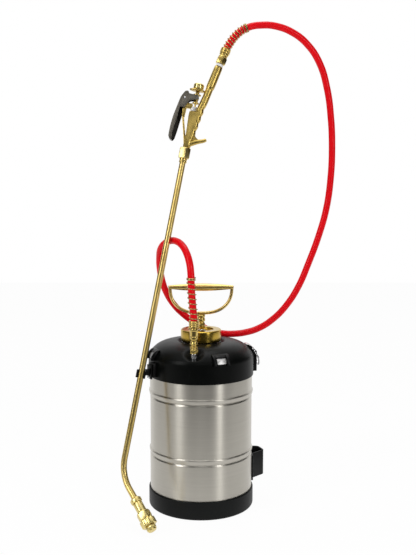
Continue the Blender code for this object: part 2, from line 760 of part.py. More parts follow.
def make_pump_head():
    gasket_top = gasket_bottom() + GASKET_THICKNESS
    gasket = ring_profile(flange_radius(), GASKET_INNER, gasket_bottom(), gasket_top)
    turned("pump_gasket", gasket, "black_rubber")
    hole = BUSH_RADIUS + CLEARANCE
    bore = NECK_OUTER + CLEARANCE
    edge = NUT_RADIUS - NUT_CHAMFER
    outside = [(edge, NUT_TOP), (NUT_RADIUS, NUT_TOP - NUT_CHAMFER)]
    outside += [(NUT_RADIUS, NUT_BOTTOM + NUT_CHAMFER), (edge, NUT_BOTTOM)]
    inside = [(bore, NUT_BOTTOM), (bore, nut_ceiling()), (hole, nut_ceiling())]
    inside += [(hole, recess_floor()), (NUT_RECESS_RADIUS, recess_floor()), (NUT_RECESS_RADIUS, NUT_TOP)]
    turned("pump_nut", outside + inside, "polished_brass", BIG_STEPS)
    bush_bottom = nut_ceiling() - BUSH_BELOW
    bush_top = recess_floor() + BUSH_ABOVE
    bush = ring_profile(BUSH_RADIUS, ROD_RADIUS + CLEARANCE, bush_bottom, bush_top)
    turned("rod_bush", bush, "black_plastic")


def make_cylinder():
    bore = CYLINDER_RADIUS - CYLINDER_WALL
    top = flange_bottom() + FLANGE_THICKNESS
    profile = [(flange_radius(), top), (flange_radius(), flange_bottom())]
    profile += [(CYLINDER_RADIUS, flange_bottom()), (CYLINDER_RADIUS, CYLINDER_BOTTOM)]
    profile += [(bore, CYLINDER_BOTTOM), (bore, top)]
    turned("pump_cylinder", profile, "polished_brass")
    seat_top = SEAT_BOTTOM + SEAT_HEIGHT
    seat = ring_profile(bore - CLEARANCE, SEAT_PORT, SEAT_BOTTOM, seat_top)
    turned("check_valve_seat", seat, "cast_brass")
    disc_top = SEAT_BOTTOM - CLEARANCE
    head_bottom = seat_top + VALVE_HEAD_GAP
    head_top = PISTON_BOTTOM - VALVE_LIFT
    valve = [(0.0, head_top), (VALVE_STEM, head_top), (VALVE_HEAD, head_bottom), (VALVE_STEM, head_bottom)]
    valve += [(VALVE_STEM, disc_top), (VALVE_RADIUS, disc_top), (VALVE_RADIUS, disc_top - VALVE_DISC)]
    turned("check_valve", valve + [(0.0, disc_top - VALVE_DISC)], "black_rubber", SMALL_STEPS)


def make_plunger():
    bore = CYLINDER_RADIUS - CYLINDER_WALL - CLEARANCE
    eye = ROD_RADIUS + CLEARANCE
    nut_top = PISTON_BOTTOM + PISTON_NUT_HEIGHT
    cup_bottom = nut_top + CLEARANCE
    cup_top = cup_bottom + CUP_HEIGHT
    plate_bottom = cup_top + CLEARANCE
    rod_top = HUB_BOTTOM + HUB_SOCKET - CLEARANCE
    rod_bottom = PISTON_BOTTOM + CLEARANCE
    turned("pump_rod", solid_profile(ROD_RADIUS, rod_bottom, rod_top), "plain_steel", SMALL_STEPS)
    hex_nut("piston_nut", PISTON_NUT_RADIUS, eye, PISTON_BOTTOM, nut_top, "cast_brass", None)
    inner = bore - CUP_WALL
    cup = [(bore, cup_top), (bore, cup_bottom), (inner, cup_bottom), (inner, cup_top - CUP_BASE)]
    turned("piston_cup", cup + [(eye, cup_top - CUP_BASE), (eye, cup_top)], "leather")
    backing = ring_profile(PLATE_RADIUS, eye, plate_bottom, plate_bottom + PLATE_HEIGHT)
    turned("piston_plate", backing, "cast_brass")
    make_handle(eye)


def make_handle(eye):
    hub_top = HUB_BOTTOM + HUB_HEIGHT
    grip_centre = NUT_TOP + GRIP_HEIGHT
    bow_drop = grip_centre - hub_top - CLEARANCE - BOW_RADIUS
    waist_low = HUB_BOTTOM + HUB_FOOT_LENGTH
    waist_high = waist_low + HUB_WAIST_LENGTH
    socket = HUB_BOTTOM + HUB_SOCKET
    hub = [(0.0, hub_top), (HUB_RADIUS, hub_top), (HUB_RADIUS, waist_high), (HUB_WAIST, waist_high)]
    hub += [(HUB_WAIST, waist_low), (HUB_RADIUS, waist_low), (HUB_RADIUS, HUB_BOTTOM)]
    turned("handle_hub", hub + [(eye, HUB_BOTTOM), (eye, socket), (0.0, socket)], "cast_brass")
    stations = np.linspace(-1.0, 1.0, 11)
    swell = GRIP_MID_RADIUS - GRIP_END_RADIUS
    side = [(GRIP_END_RADIUS + swell * (1 - s * s), -s * GRIP_HALF_LENGTH) for s in stations]
    profile = [(0.0, GRIP_HALF_LENGTH)] + side + [(0.0, -GRIP_HALF_LENGTH)]
    grip = turned("pump_handle", profile, "polished_brass", SMALL_STEPS)
    grip.rotation_euler = (0.0, math.pi / 2, 0.0)
    grip.location = (0.0, 0.0, grip_centre)
    angles = np.linspace(math.pi, math.tau, 25)
    points = [(BOW_HALF_SPAN * math.cos(a), 0.0, grip_centre + bow_drop * math.sin(a)) for a in angles]
    bow = as_mesh(wire("handle_bow", points, BOW_RADIUS, "polished_brass"))
    combine(grip, bow, "UNION")


# Outlet, dip tube and the hose's lower fitting
def make_outlet():
    frame = empty_frame("outlet", Matrix.Translation((OUTLET_X, OUTLET_Y, 0.0)))
    bore = DIP_RADIUS + CLEARANCE
    stub = [(0.0, STUB_TOP), (STUB_RADIUS, STUB_TOP), (STUB_RADIUS, STUB_BOTTOM)]
    stub += [(bore, STUB_BOTTOM), (bore, STUB_BOTTOM + DIP_LAP), (0.0, STUB_BOTTOM + DIP_LAP)]
    turned("outlet_stub", stub, "plain_steel", SMALL_STEPS, frame)
    dip_top = STUB_BOTTOM + DIP_LAP - CLEARANCE
    turned("dip_tube", solid_profile(DIP_RADIUS, DIP_BOTTOM, dip_top), "clear_tube", SMALL_STEPS, frame)
    strainer_top = STRAINER_BOTTOM + STRAINER_HEIGHT
    cup_floor = DIP_BOTTOM - CLEARANCE
    strainer = [(STRAINER_RADIUS, strainer_top), (STRAINER_RADIUS, STRAINER_BOTTOM), (0.0, STRAINER_BOTTOM)]
    strainer = [(0.0, cup_floor), (bore, cup_floor), (bore, strainer_top)] + strainer
    turned("dip_strainer", strainer, "black_plastic", SMALL_STEPS, frame)
    nut_bottom = STUB_TOP + CLEARANCE
    nut_top = nut_bottom + SWIVEL_NUT_LENGTH
    hex_nut("swivel_nut", SWIVEL_NUT_RADIUS, STUB_RADIUS, nut_bottom, nut_top, "cast_brass", frame)
    body_bottom = nut_top + CLEARANCE
    shoulder = body_bottom + SWIVEL_NECK_LENGTH
    body_top = swivel_top()
    body = [(0.0, body_top), (SWIVEL_BODY_RADIUS, body_top), (SWIVEL_BODY_RADIUS, shoulder)]
    body += [(SWIVEL_NECK_RADIUS, shoulder), (SWIVEL_NECK_RADIUS, body_bottom), (0.0, body_bottom)]
    turned("swivel_body", body, "cast_brass", SMALL_STEPS, frame)
    make_ferrule("hose_ferrule_lower", body_top + CLEARANCE, FERRULE_LENGTH, FERRULE_GRIP, frame)


def swivel_top():
    lengths = SWIVEL_NUT_LENGTH + SWIVEL_NECK_LENGTH + SWIVEL_BODY_LENGTH
    return STUB_TOP + lengths + 2 * CLEARANCE


def make_ferrule(name, bottom, length, grip, frame):
    """A brass sleeve pressed round the hose's end, open where the hose goes in."""
    top = bottom + length
    socket = HOSE_RADIUS + CLEARANCE
    grip_floor = top - grip
    profile = [(FERRULE_RADIUS, top), (FERRULE_RADIUS, bottom), (0.0, bottom)]
    profile = [(0.0, grip_floor), (socket, grip_floor), (socket, top)] + profile
    turned(name, profile, "cast_brass", SMALL_STEPS, frame)


# Hose and spring guards
def smooth_route(points):
    """A natural cubic spline through the points, as a function of the length along their chords."""
    points = np.array([tuple(p) for p in points])
    steps = np.linalg.norm(np.diff(points, axis=0), axis=1)
    knots = np.concatenate([[0.0], np.cumsum(steps)])
    count = len(points)
    matrix = np.eye(count)
    target = np.zeros((count, 3))
    for i in range(1, count - 1):
        before, after = steps[i - 1], steps[i]
        matrix[i, i - 1 : i + 2] = (before, 2 * (before + after), after)
        rise = (points[i + 1] - points[i]) / after - (points[i] - points[i - 1]) / before
        target[i] = 6 * rise
    bend = np.linalg.solve(matrix, target)

    def at(length):
        i = int(np.clip(np.searchsorted(knots, length) - 1, 0, count - 2))
        width = steps[i]
        left = knots[i + 1] - length
        right = length - knots[i]
        cubic = (bend[i] * left**3 + bend[i + 1] * right**3) / (6 * width)
        low = points[i] / width - bend[i] * width / 6
        high = points[i + 1] / width - bend[i + 1] * width / 6
        return cubic + low * left + high * right

    return at, knots[-1]


def hose_curve(coupling):
    """The hose's middle line, straight out of its lower ferrule, round the route and into the upper one."""
    lower_mouth = swivel_top() + CLEARANCE + FERRULE_LENGTH
    lower_end = lower_mouth - FERRULE_GRIP + CLEARANCE
    lower = [Vector((OUTLET_X, OUTLET_Y, lower_end)), Vector((OUTLET_X, OUTLET_Y, lower_mouth))]
    mouth = coupling @ Vector((0.0, 0.0, upper_ferrule_top()))
    inside = coupling @ Vector((0.0, 0.0, upper_ferrule_top() - UPPER_FERRULE_GRIP + CLEARANCE))
    return smooth_route([*lower, *carried_route(lower[-1], mouth), mouth, inside])


def carried_route(lower, upper):
    """The drawn route carried along with its two mouths: its low points rise with the tank's top."""
    start_shift = lower - ROUTE_START
    end_shift = upper - ROUTE_END
    carried = []
    for k, drawn in enumerate(HOSE_ROUTE):
        share = (drawn[2] - ROUTE_START.z) / (ROUTE_END.z - ROUTE_START.z)
        share = min(max(share, 0.0), 1.0)
        near = max(0.0, 1.0 - k / ROUTE_LOOP_POINTS)
        shift = Vector((start_shift.x * near, start_shift.y * near, start_shift.z * (1.0 - share)))
        carried.append(Vector(drawn) + shift + end_shift * share)
    return carried


def upper_ferrule_top():
    return TAPE_LENGTH + COUPLING_LENGTH + UPPER_FERRULE_LENGTH + 3 * CLEARANCE


def make_hose(coupling):
    at, length = hose_curve(coupling)
    gap = GUARD_WIRE + 2 * CLEARANCE
    low = FERRULE_GRIP + gap
    high = length - UPPER_FERRULE_GRIP - gap
    low_end = low + LOWER_GUARD_LENGTH
    high_end = high - UPPER_GUARD_LENGTH
    stations = [0.0, FERRULE_GRIP]
    for start, end, spacing in (
        (low, low_end, GUARDED_POINT_SPACING),
        (low_end + HOSE_POINT_SPACING, high_end - HOSE_POINT_SPACING, HOSE_POINT_SPACING),
        (high_end, high, GUARDED_POINT_SPACING),
    ):
        stations += list(np.linspace(start, end, int(round((end - start) / spacing)) + 1))
    stations += [length - UPPER_FERRULE_GRIP, length]
    wire("hose", [tuple(at(s)) for s in stations], HOSE_RADIUS, "red_hose", resolution=3)
    guard("hose_spring_lower", at, low, low_end, LOWER_GUARD_TURNS)
    guard("hose_spring_upper", at, high, high_end, UPPER_GUARD_TURNS)


def guard(name, at, start, end, turns):
    """A wire coil wound round the hose's middle line between two lengths along it."""
    radius = (HOSE_RADIUS + GUARD_WIRE + CLEARANCE) / math.cos(math.pi / GUARD_POINTS_A_TURN)
    count = turns * GUARD_POINTS_A_TURN + 1
    lengths = np.linspace(start, end, count)
    middle = [Vector(at(s)) for s in lengths]
    side = Vector((1.0, 0.0, 0.0))
    points = []
    for i, centre in enumerate(middle):
        ahead = middle[min(i + 1, count - 1)] - middle[max(i - 1, 0)]
        along = ahead.normalized()
        side = (side - side.dot(along) * along).normalized()
        angle = i * math.tau / GUARD_POINTS_A_TURN
        turn = Matrix.Rotation(angle, 3, along)
        points.append(tuple(centre + turn @ side * radius))
    wire(name, points, GUARD_WIRE, "cast_brass", resolution=1)


# Lance
def lance_up():
    return (LANCE_TOP - LANCE_CORNER).normalized()


def tip_down():
    return (LANCE_TIP - LANCE_CORNER).normalized()


def bent_line(start, corner, end):
    """A straight line, an arc of the lance's bend radius, and a straight line."""
    before = (corner - start).normalized()
    after = (end - corner).normalized()
    angle = before.angle(after)
    reach = LANCE_BEND * math.tan(angle / 2)
    axis = before.cross(after).normalized()
    centre = corner - before * reach + axis.cross(before) * LANCE_BEND
    first = corner - before * reach - centre
    steps = np.linspace(0.0, angle, LANCE_BEND_STEPS)
    bend = [centre + Matrix.Rotation(a, 3, axis) @ first for a in steps]
    return [start] + bend + [end]


def tip_heights():
    """How far each tip piece's near end lies from the lance's end, from the nozzle back."""
    heights = [0.0]
    lengths = (NOZZLE_LENGTH, SELECTOR_LENGTH, TIP_NUT_LENGTH, TIP_SLEEVE_LENGTH, TIP_COLLAR_LENGTH)
    for length in lengths:
        heights.append(heights[-1] + length + CLEARANCE)
    return heights


def make_lance(gun):
    top = LANCE_TOP + lance_up() * (CASTING_BOTTOM - CLEARANCE)
    stop = tip_heights()[2] + CLEARANCE
    end = LANCE_TIP - tip_down() * stop
    points = [tuple(p) for p in bent_line(top, LANCE_CORNER, end)]
    tube = wire("lance_tube", points, (LANCE_RADIUS + LANCE_BORE) / 2, "polished_brass", resolution=3)
    tube.data.use_fill_caps = False
    wall = tube.modifiers.new("wall", "SOLIDIFY")
    wall.thickness = LANCE_RADIUS - LANCE_BORE
    wall.offset = 0.0
    wall.use_even_offset = True
    bore = LANCE_RADIUS + CLEARANCE
    nut_top = CASTING_BOTTOM - CLEARANCE
    nut_bottom = nut_top - LANCE_NUT_LENGTH
    hex_nut("lance_nut", LANCE_NUT_RADIUS, bore, nut_bottom, nut_top, "cast_brass", gun)
    collar_top = nut_bottom - CLEARANCE
    collar = ring_profile(LANCE_FERRULE_RADIUS, bore, collar_top - LANCE_FERRULE_LENGTH, collar_top)
    turned("lance_ferrule", collar, "cast_brass", SMALL_STEPS, gun)


def make_tip():
    frame = frame_along("tip", LANCE_TIP, -tip_down(), (1.0, 0.0, 0.0))
    bore = LANCE_RADIUS + CLEARANCE
    nozzle, selector, nut, sleeve, collar, _ = tip_heights()
    mouth = NOZZLE_CHAMFER
    profile = [(0.0, NOZZLE_LENGTH), (NOZZLE_RADIUS, NOZZLE_LENGTH), (NOZZLE_RADIUS, mouth)]
    turned("nozzle", profile + [(NOZZLE_MOUTH, nozzle), (0.0, nozzle)], "cast_brass", SMALL_STEPS, frame)
    outline = []
    for k in range(SELECTOR_SCALLOPS):
        middle = k * math.tau / SELECTOR_SCALLOPS
        spread = SCALLOP_RADIUS / SELECTOR_RADIUS
        outline.append((SELECTOR_RADIUS, middle - 2 * spread))
        outline.append((SELECTOR_RADIUS, middle - spread))
        outline.append((SELECTOR_RADIUS - SCALLOP_RADIUS / 2, middle))
        outline.append((SELECTOR_RADIUS, middle + spread))
    flat = [(r * math.cos(a), r * math.sin(a)) for r, a in outline]
    knob = plate("tip_selector", [flat], SELECTOR_LENGTH, "cast_brass", frame)
    knob.rotation_euler = (0.0, 0.0, 0.0)
    knob.location = (0.0, 0.0, selector + SELECTOR_LENGTH / 2)
    hex_nut("tip_nut", TIP_NUT_RADIUS, bore, nut, nut + TIP_NUT_LENGTH, "cast_brass", frame)
    rings = (
        ("tip_sleeve", TIP_SLEEVE_RADIUS, sleeve, TIP_SLEEVE_LENGTH),
        ("tip_collar", TIP_COLLAR_RADIUS, collar, TIP_COLLAR_LENGTH),
    )
    for name, radius, bottom, length in rings:
        sleeve_profile = ring_profile(radius, bore, bottom, bottom + length)
        turned(name, sleeve_profile, "cast_brass", SMALL_STEPS, frame)


# Clip that holds the lance beside the tank
def make_holder():
    up = lance_up()
    share = (LANCE_HOLD_HEIGHT - LANCE_CORNER.z) / (LANCE_TOP.z - LANCE_CORNER.z)
    grip = LANCE_CORNER.lerp(LANCE_TOP, share)
    inner = LANCE_RADIUS + CLEARANCE
    outer = inner + HOLDER_JAW
    frame = frame_along("holder", grip, up, (1.0, 0.0, 0.0))
    front = -math.pi / 2
    first = front + HOLDER_OPENING / 2
    last = front + math.tau - HOLDER_OPENING / 2
    outline = arc((0.0, 0.0), outer, first, last, 19) + arc((0.0, 0.0), inner, last, first, 19)
    jaw = plate("jaw_outline", [outline], HOLDER_HEIGHT, "black_plastic", frame)
    jaw.rotation_euler = (0.0, 0.0, 0.0)
    jaw = as_mesh(jaw)
    base = pad_face() + CLEARANCE
    inward = turn_to(LANCE_PAD_ANGLE).inverted() @ grip
    low = inward.z - HOLDER_PLATE_HEIGHT / 2
    size = (HOLDER_PLATE, HOLDER_PLATE_WIDTH, HOLDER_PLATE_HEIGHT)
    centre = (base + HOLDER_PLATE / 2, 0.0, low + HOLDER_PLATE_HEIGHT / 2)
    holder = block("lance_clip", size, centre, "black_plastic", turn_to(LANCE_PAD_ANGLE))
    reach = math.hypot(grip.x, grip.y) - inner - HOLDER_JAW / 2
    arm_size = (reach - base - HOLDER_PLATE / 2, HOLDER_ARM_WIDTH, HOLDER_ARM_HEIGHT)
    arm_centre = ((reach + base + HOLDER_PLATE / 2) / 2, 0.0, inward.z)
    arm = block("holder_arm", arm_size, arm_centre, "black_plastic", turn_to(LANCE_PAD_ANGLE))
    combine(holder, arm, "UNION")
    combine(holder, jaw, "UNION")
    head = base + HOLDER_PLATE + CLEARANCE
    seat = Matrix.Translation((head, 0.0, inward.z - HOLDER_SCREW_DROP))
    screw_frame = empty_frame("holder_screw", turn_to(LANCE_PAD_ANGLE) @ seat)
    shoulder = HOLDER_SCREW_HEAD / 2
    profile = [(0.0, HOLDER_SCREW_HEAD), (HOLDER_SCREW_RIM, HOLDER_SCREW_HEAD)]
    profile += [(HOLDER_SCREW_RADIUS, shoulder), (HOLDER_SCREW_RADIUS, 0.0), (0.0, 0.0)]
    screw = turned("lance_clip_screw", profile, "plain_steel", SMALL_STEPS, screw_frame)
    screw.rotation_euler = (0.0, math.pi / 2, 0.0)


# Trigger valve
def casting_outline():
    """The casting's main plate in (across, up): its left face, its wavy back and the hanging hook."""
    left, right = ((across, CASTING_BOTTOM) for across in CASTING_FOOT)
    return [left, *CASTING_LEFT, *CASTING_NECK, BARREL_FOOT, *CASTING_BACK, *CASTING_HOOK, right]


def leg_outline():
    """The thin leg from the casting's foot up to the trigger's pivot."""
    return ribbon([*LEG_LINE, PIVOT], LEG_WIDTH)


def make_valve_body(gun):
    body = as_mesh(plate("valve_body", [casting_outline()], CASTING_DEPTH, "cast_brass", gun))
    leg = as_mesh(plate("casting_leg", [leg_outline()], LEG_DEPTH, "cast_brass", gun))
    boss_end = math.tau * (1 - 1 / PIVOT_BOSS_SIDES)
    boss_outline = arc(PIVOT, PIVOT_BOSS, 0.0, boss_end, PIVOT_BOSS_SIDES)
    boss = as_mesh(plate("pivot_boss", [boss_outline], PIVOT_BOSS_DEPTH, "cast_brass", gun))
    across, up = (BARREL_END[k] - BARREL_FOOT[k] for k in range(2))
    barrel_frame = gun.matrix_world @ barrel_matrix()
    root = -math.hypot(across, up) - BARREL_ROOT
    barrel = turned("barrel", solid_profile(BARREL_RADIUS, root, 0.0), "cast_brass")
    barrel.matrix_world = barrel_frame
    right = BARREL_FOOT[0] + across * (BRIDGE_HEIGHT - BARREL_FOOT[1]) / up
    low, high = BRIDGE_HEIGHT, BRIDGE_HEIGHT + BRIDGE_THICKNESS
    bridge_outline = [(BRIDGE_LEFT, low), (right, low), (right, high), (BRIDGE_LEFT, high)]
    bridge = as_mesh(plate("stem_bridge", [bridge_outline], BRIDGE_DEPTH, "cast_brass", gun))
    for tool in (leg, boss, barrel, bridge):
        combine(body, tool, "UNION")
    bore_profile = solid_profile(STEM_BORE, STEM_BORE_BOTTOM, FORK_TOP)
    bore = turned("stem_bore", bore_profile, "cast_brass", SMALL_STEPS, gun)
    guide_profile = solid_profile(STEM_RADIUS + CLEARANCE, FORK_TOP, BARREL_END[1])
    guide = turned("stem_guide", guide_profile, "cast_brass", SMALL_STEPS, gun)
    for tool in (bore, guide):
        tool.location = (STEM_ACROSS, 0.0, 0.0)
        combine(body, tool, "DIFFERENCE")
    hole = pin_along_depth("pin_hole", PIN_RADIUS + CLEARANCE, CASTING_DEPTH, gun)
    combine(body, hole, "DIFFERENCE")


def barrel_matrix():
    """From the barrel's own axis, with its end at zero, to the valve's frame."""
    across, up = (BARREL_END[k] - BARREL_FOOT[k] for k in range(2))
    lean = Matrix.Rotation(math.atan2(across, up), 4, "Y")
    return Matrix.Translation((BARREL_END[0], 0.0, BARREL_END[1])) @ lean


def pin_along_depth(name, radius, length, gun):
    pin = turned(name, solid_profile(radius, -length / 2, length / 2), "plain_steel", SMALL_STEPS, gun)
    pin.rotation_euler = (math.pi / 2, 0.0, 0.0)
    pin.location = (PIVOT[0], 0.0, PIVOT[1])
    return pin


def lever_outline():
    """The trigger's side view about its pivot: the forked arm, the corner and the long finger blade."""
    fork_low = FORK_TOP - FORK_DEPTH
    fork_nose = FORK_END - FORK_NOSE
    high_root, low_root = FORK_ROOTS
    fork = [(high_root, FORK_TOP), (fork_nose, FORK_TOP), (FORK_END, FORK_TOP - FORK_DEPTH / 2)]
    fork += [(fork_nose, fork_low), (low_root, fork_low - FORK_DEPTH / 2)]
    shape = [*fork, *LEVER_INNER, *LEVER_TOE, *LEVER_OUTER, *LEVER_CORNER]
    return [(across - PIVOT[0], up - PIVOT[1]) for across, up in shape]


def make_trigger(gun):
    hinge = gun.matrix_world @ Matrix.Translation((PIVOT[0], 0.0, PIVOT[1]))
    frame = empty_frame("trigger_hinge", hinge)
    outline = lever_outline()
    lever = as_mesh(plate("trigger_lever", [outline], LEVER_WIDTH, "plain_steel", frame))
    inside = [(across + LEVER_WEB, up) for across, up in outline]
    channel_width = LEVER_WIDTH - 2 * LEVER_SHEET
    channel = as_mesh(plate("lever_channel", [inside], channel_width, "plain_steel", frame))
    combine(lever, channel, "DIFFERENCE")
    hole = pin_along_depth("lever_hole", PIN_RADIUS + CLEARANCE, 2 * LEVER_WIDTH, gun)
    combine(lever, hole, "DIFFERENCE")
    pin_along_depth("trigger_pin", PIN_RADIUS, LEVER_WIDTH + 2 * LEVER_SHEET, gun)


def knob_bottom():
    return BRIDGE_HEIGHT + BRIDGE_THICKNESS + CLEARANCE


def make_stem(gun):
    axis = empty_frame("stem_axis", gun.matrix_world @ Matrix.Translation((STEM_ACROSS, 0.0, 0.0)))
    disc, disc_thickness, disc_radius = STEM_DISC
    collar = FORK_TOP + CLEARANCE
    collar_top = collar + STEM_COLLAR_THICKNESS
    stem = [(0.0, knob_bottom()), (STEM_RADIUS, knob_bottom()), (STEM_RADIUS, collar_top)]
    stem += [(STEM_COLLAR_RADIUS, collar_top), (STEM_COLLAR_RADIUS, collar), (STEM_RADIUS, collar)]
    stem += [(STEM_RADIUS, disc + disc_thickness), (disc_radius, disc + disc_thickness), (disc_radius, disc)]
    stem += [(STEM_LOW_RADIUS, disc), (STEM_LOW_RADIUS, STEM_SEAT), (STEM_SEAT_RADIUS, STEM_SEAT)]
    stem += [(STEM_SEAT_RADIUS, STEM_SEAT - disc_thickness), (STEM_LOW_RADIUS, STEM_SEAT - disc_thickness)]
    stem += [(STEM_LOW_RADIUS, STEM_BOTTOM), (0.0, STEM_BOTTOM)]
    turned("valve_stem", stem, "plain_steel", SMALL_STEPS, axis)
    low = knob_bottom() + CLEARANCE
    high = low + KNOB_LENGTH
    round_off = KNOB_RADIUS / 4
    rim = KNOB_RADIUS - round_off
    knob = [(0.0, high), (rim, high), (KNOB_RADIUS, high - round_off)]
    knob += [(KNOB_RADIUS, low + round_off), (rim, low), (0.0, low)]
    turned("stem_knob", knob, "cast_brass", MID_STEPS, axis)
    make_packing(axis)
    spring_low = STEM_SEAT + SPRING_WIRE + CLEARANCE
    spring_high = PACKING_BOTTOM - SPRING_WIRE - CLEARANCE
    count = SPRING_TURNS * GUARD_POINTS_A_TURN + 1
    turns = np.linspace(0.0, SPRING_TURNS * math.tau, count)
    heights = np.linspace(spring_low, spring_high, count)
    points = [(SPRING_RADIUS * math.cos(a), SPRING_RADIUS * math.sin(a), z) for a, z in zip(turns, heights)]
    wire("stem_spring", points, SPRING_WIRE, "plain_steel", resolution=1, frame=axis)


def make_packing(axis):
    """The gland nut that closes the stem's bore and keeps the spring in."""
    plug = STEM_BORE - CLEARANCE
    eye = STEM_LOW_RADIUS + CLEARANCE
    profile = [(PACKING_RADIUS, PACKING_TOP), (PACKING_RADIUS, PACKING_LIP), (plug, PACKING_LIP)]
    profile += [(plug, PACKING_BOTTOM), (eye, PACKING_BOTTOM), (eye, PACKING_TOP)]
    turned("packing_nut", profile, "cast_brass", SMALL_STEPS, axis)


def make_coupling(gun):
    matrix = gun.matrix_world @ barrel_matrix()
    frame = empty_frame("coupling", matrix)
    tape_bottom = CLEARANCE
    tape_top = tape_bottom + TAPE_LENGTH
    turned("seal_tape", solid_profile(TAPE_RADIUS, tape_bottom, tape_top), "white_tape", SMALL_STEPS, frame)
    nut_bottom = tape_top + CLEARANCE
    nut_top = nut_bottom + COUPLING_LENGTH
    hex_nut("hose_coupling", COUPLING_RADIUS, STEM_RADIUS, nut_bottom, nut_top, "cast_brass", frame)
    make_ferrule("hose_ferrule_upper", nut_top + CLEARANCE, UPPER_FERRULE_LENGTH, UPPER_FERRULE_GRIP, frame)
    return matrix


def main():
    start_scene()
    make_tank()
    make_boot()
    make_cap()
    make_clips()
    make_strap_ring()
    make_strap_bracket()
    make_pump_head()
    make_cylinder()
    make_plunger()
    make_outlet()
    gun = frame_along("valve_axis", LANCE_TOP, lance_up(), (1.0, 0.0, 0.0))
    make_lance(gun)
    make_tip()
    make_holder()
    make_valve_body(gun)
    make_trigger(gun)
    make_stem(gun)
    coupling = make_coupling(gun)
    make_hose(coupling)


main()
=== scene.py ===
# %% [markdown]
# # A compressed-air hand sprayer
#
# This lesson dresses the CAD model of a small steel tank sprayer: a brushed tank with black plastic
# ends, a brass plunger pump, a red hose with wire guards, and a brass trigger valve on a bent lance.
# The CAD solids give every place and size. Here each one that shows gets a rounder, finer shape and
# a finish of its own.

# %% Load the CAD frame
import math

import bpy
from mathutils import Matrix, Vector
from mathutils.geometry import interpolate_bezier


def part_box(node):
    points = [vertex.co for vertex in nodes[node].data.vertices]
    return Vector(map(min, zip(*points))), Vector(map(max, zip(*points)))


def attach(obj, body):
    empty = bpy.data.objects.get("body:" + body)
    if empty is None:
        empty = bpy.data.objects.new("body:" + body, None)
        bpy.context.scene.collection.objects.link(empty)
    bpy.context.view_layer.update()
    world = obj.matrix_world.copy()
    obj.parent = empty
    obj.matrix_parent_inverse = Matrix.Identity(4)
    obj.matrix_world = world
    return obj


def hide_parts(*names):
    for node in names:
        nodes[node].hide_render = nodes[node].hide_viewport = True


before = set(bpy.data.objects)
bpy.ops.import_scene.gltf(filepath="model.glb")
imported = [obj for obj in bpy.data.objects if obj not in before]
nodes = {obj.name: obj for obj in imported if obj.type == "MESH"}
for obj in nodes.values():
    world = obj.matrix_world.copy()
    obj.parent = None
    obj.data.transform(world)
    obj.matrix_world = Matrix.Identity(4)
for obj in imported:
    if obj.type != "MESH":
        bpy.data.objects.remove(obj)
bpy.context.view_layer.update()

# %% [markdown]
# ## The camera
#
# The photograph was taken from a little above the handle, looking slightly down. A long lens keeps
# the tank's sides straight. The picture is upright, so the lens is counted on its long side, and a
# small sideways shift puts the tank left of the middle as in the photograph.

# %% Camera
CAMERA_PLACE = (0.0, -1.3547, 0.5258)
CAMERA_PITCH = 0.1142
CAMERA_LENS = 55.35
CAMERA_SHIFT = 0.01265

bpy.ops.object.camera_add(location=CAMERA_PLACE, rotation=(math.pi / 2 - CAMERA_PITCH, 0.0, 0.0))
camera = bpy.context.object
camera.data.sensor_width = 36.0
camera.data.lens = CAMERA_LENS
camera.data.shift_x = CAMERA_SHIFT
camera.data.clip_start = 0.05
bpy.context.scene.camera = camera
print("camera looks down by", round(math.degrees(CAMERA_PITCH), 2), "degrees")

# %% [markdown]
# ## Shader maths as expressions
#
# A material is a graph of nodes, and drawing it node by node is slow to read. One small class wraps
# a socket, so that a plus sign adds a Math node, and one method makes any other node from its type,
# its settings and the values of its sockets.

# %% Shader expressions
FINE_BUMP = 0.0003


class Field:
    """A number that changes over a surface: a socket with the usual operators."""

    def __init__(self, finish, socket):
        self.finish = finish
        self.socket = socket

    def maths(self, operation, *others):
        return self.finish.node("ShaderNodeMath", {"operation": operation}, self, *others)

    def __add__(self, other):
        return self.maths("ADD", other)

    def __radd__(self, other):
        return self + other

    def __sub__(self, other):
        return self.maths("SUBTRACT", other)

    def __rsub__(self, other):
        return self.finish.node("ShaderNodeMath", {"operation": "SUBTRACT"}, other, self)

    def __mul__(self, other):
        return self.maths("MULTIPLY", other)

    def __rmul__(self, other):
        return self * other

    def clamped(self):
        return self.maths("MAXIMUM", 0.0).maths("MINIMUM", 1.0)

    def wave(self):
        return self.maths("SINE")


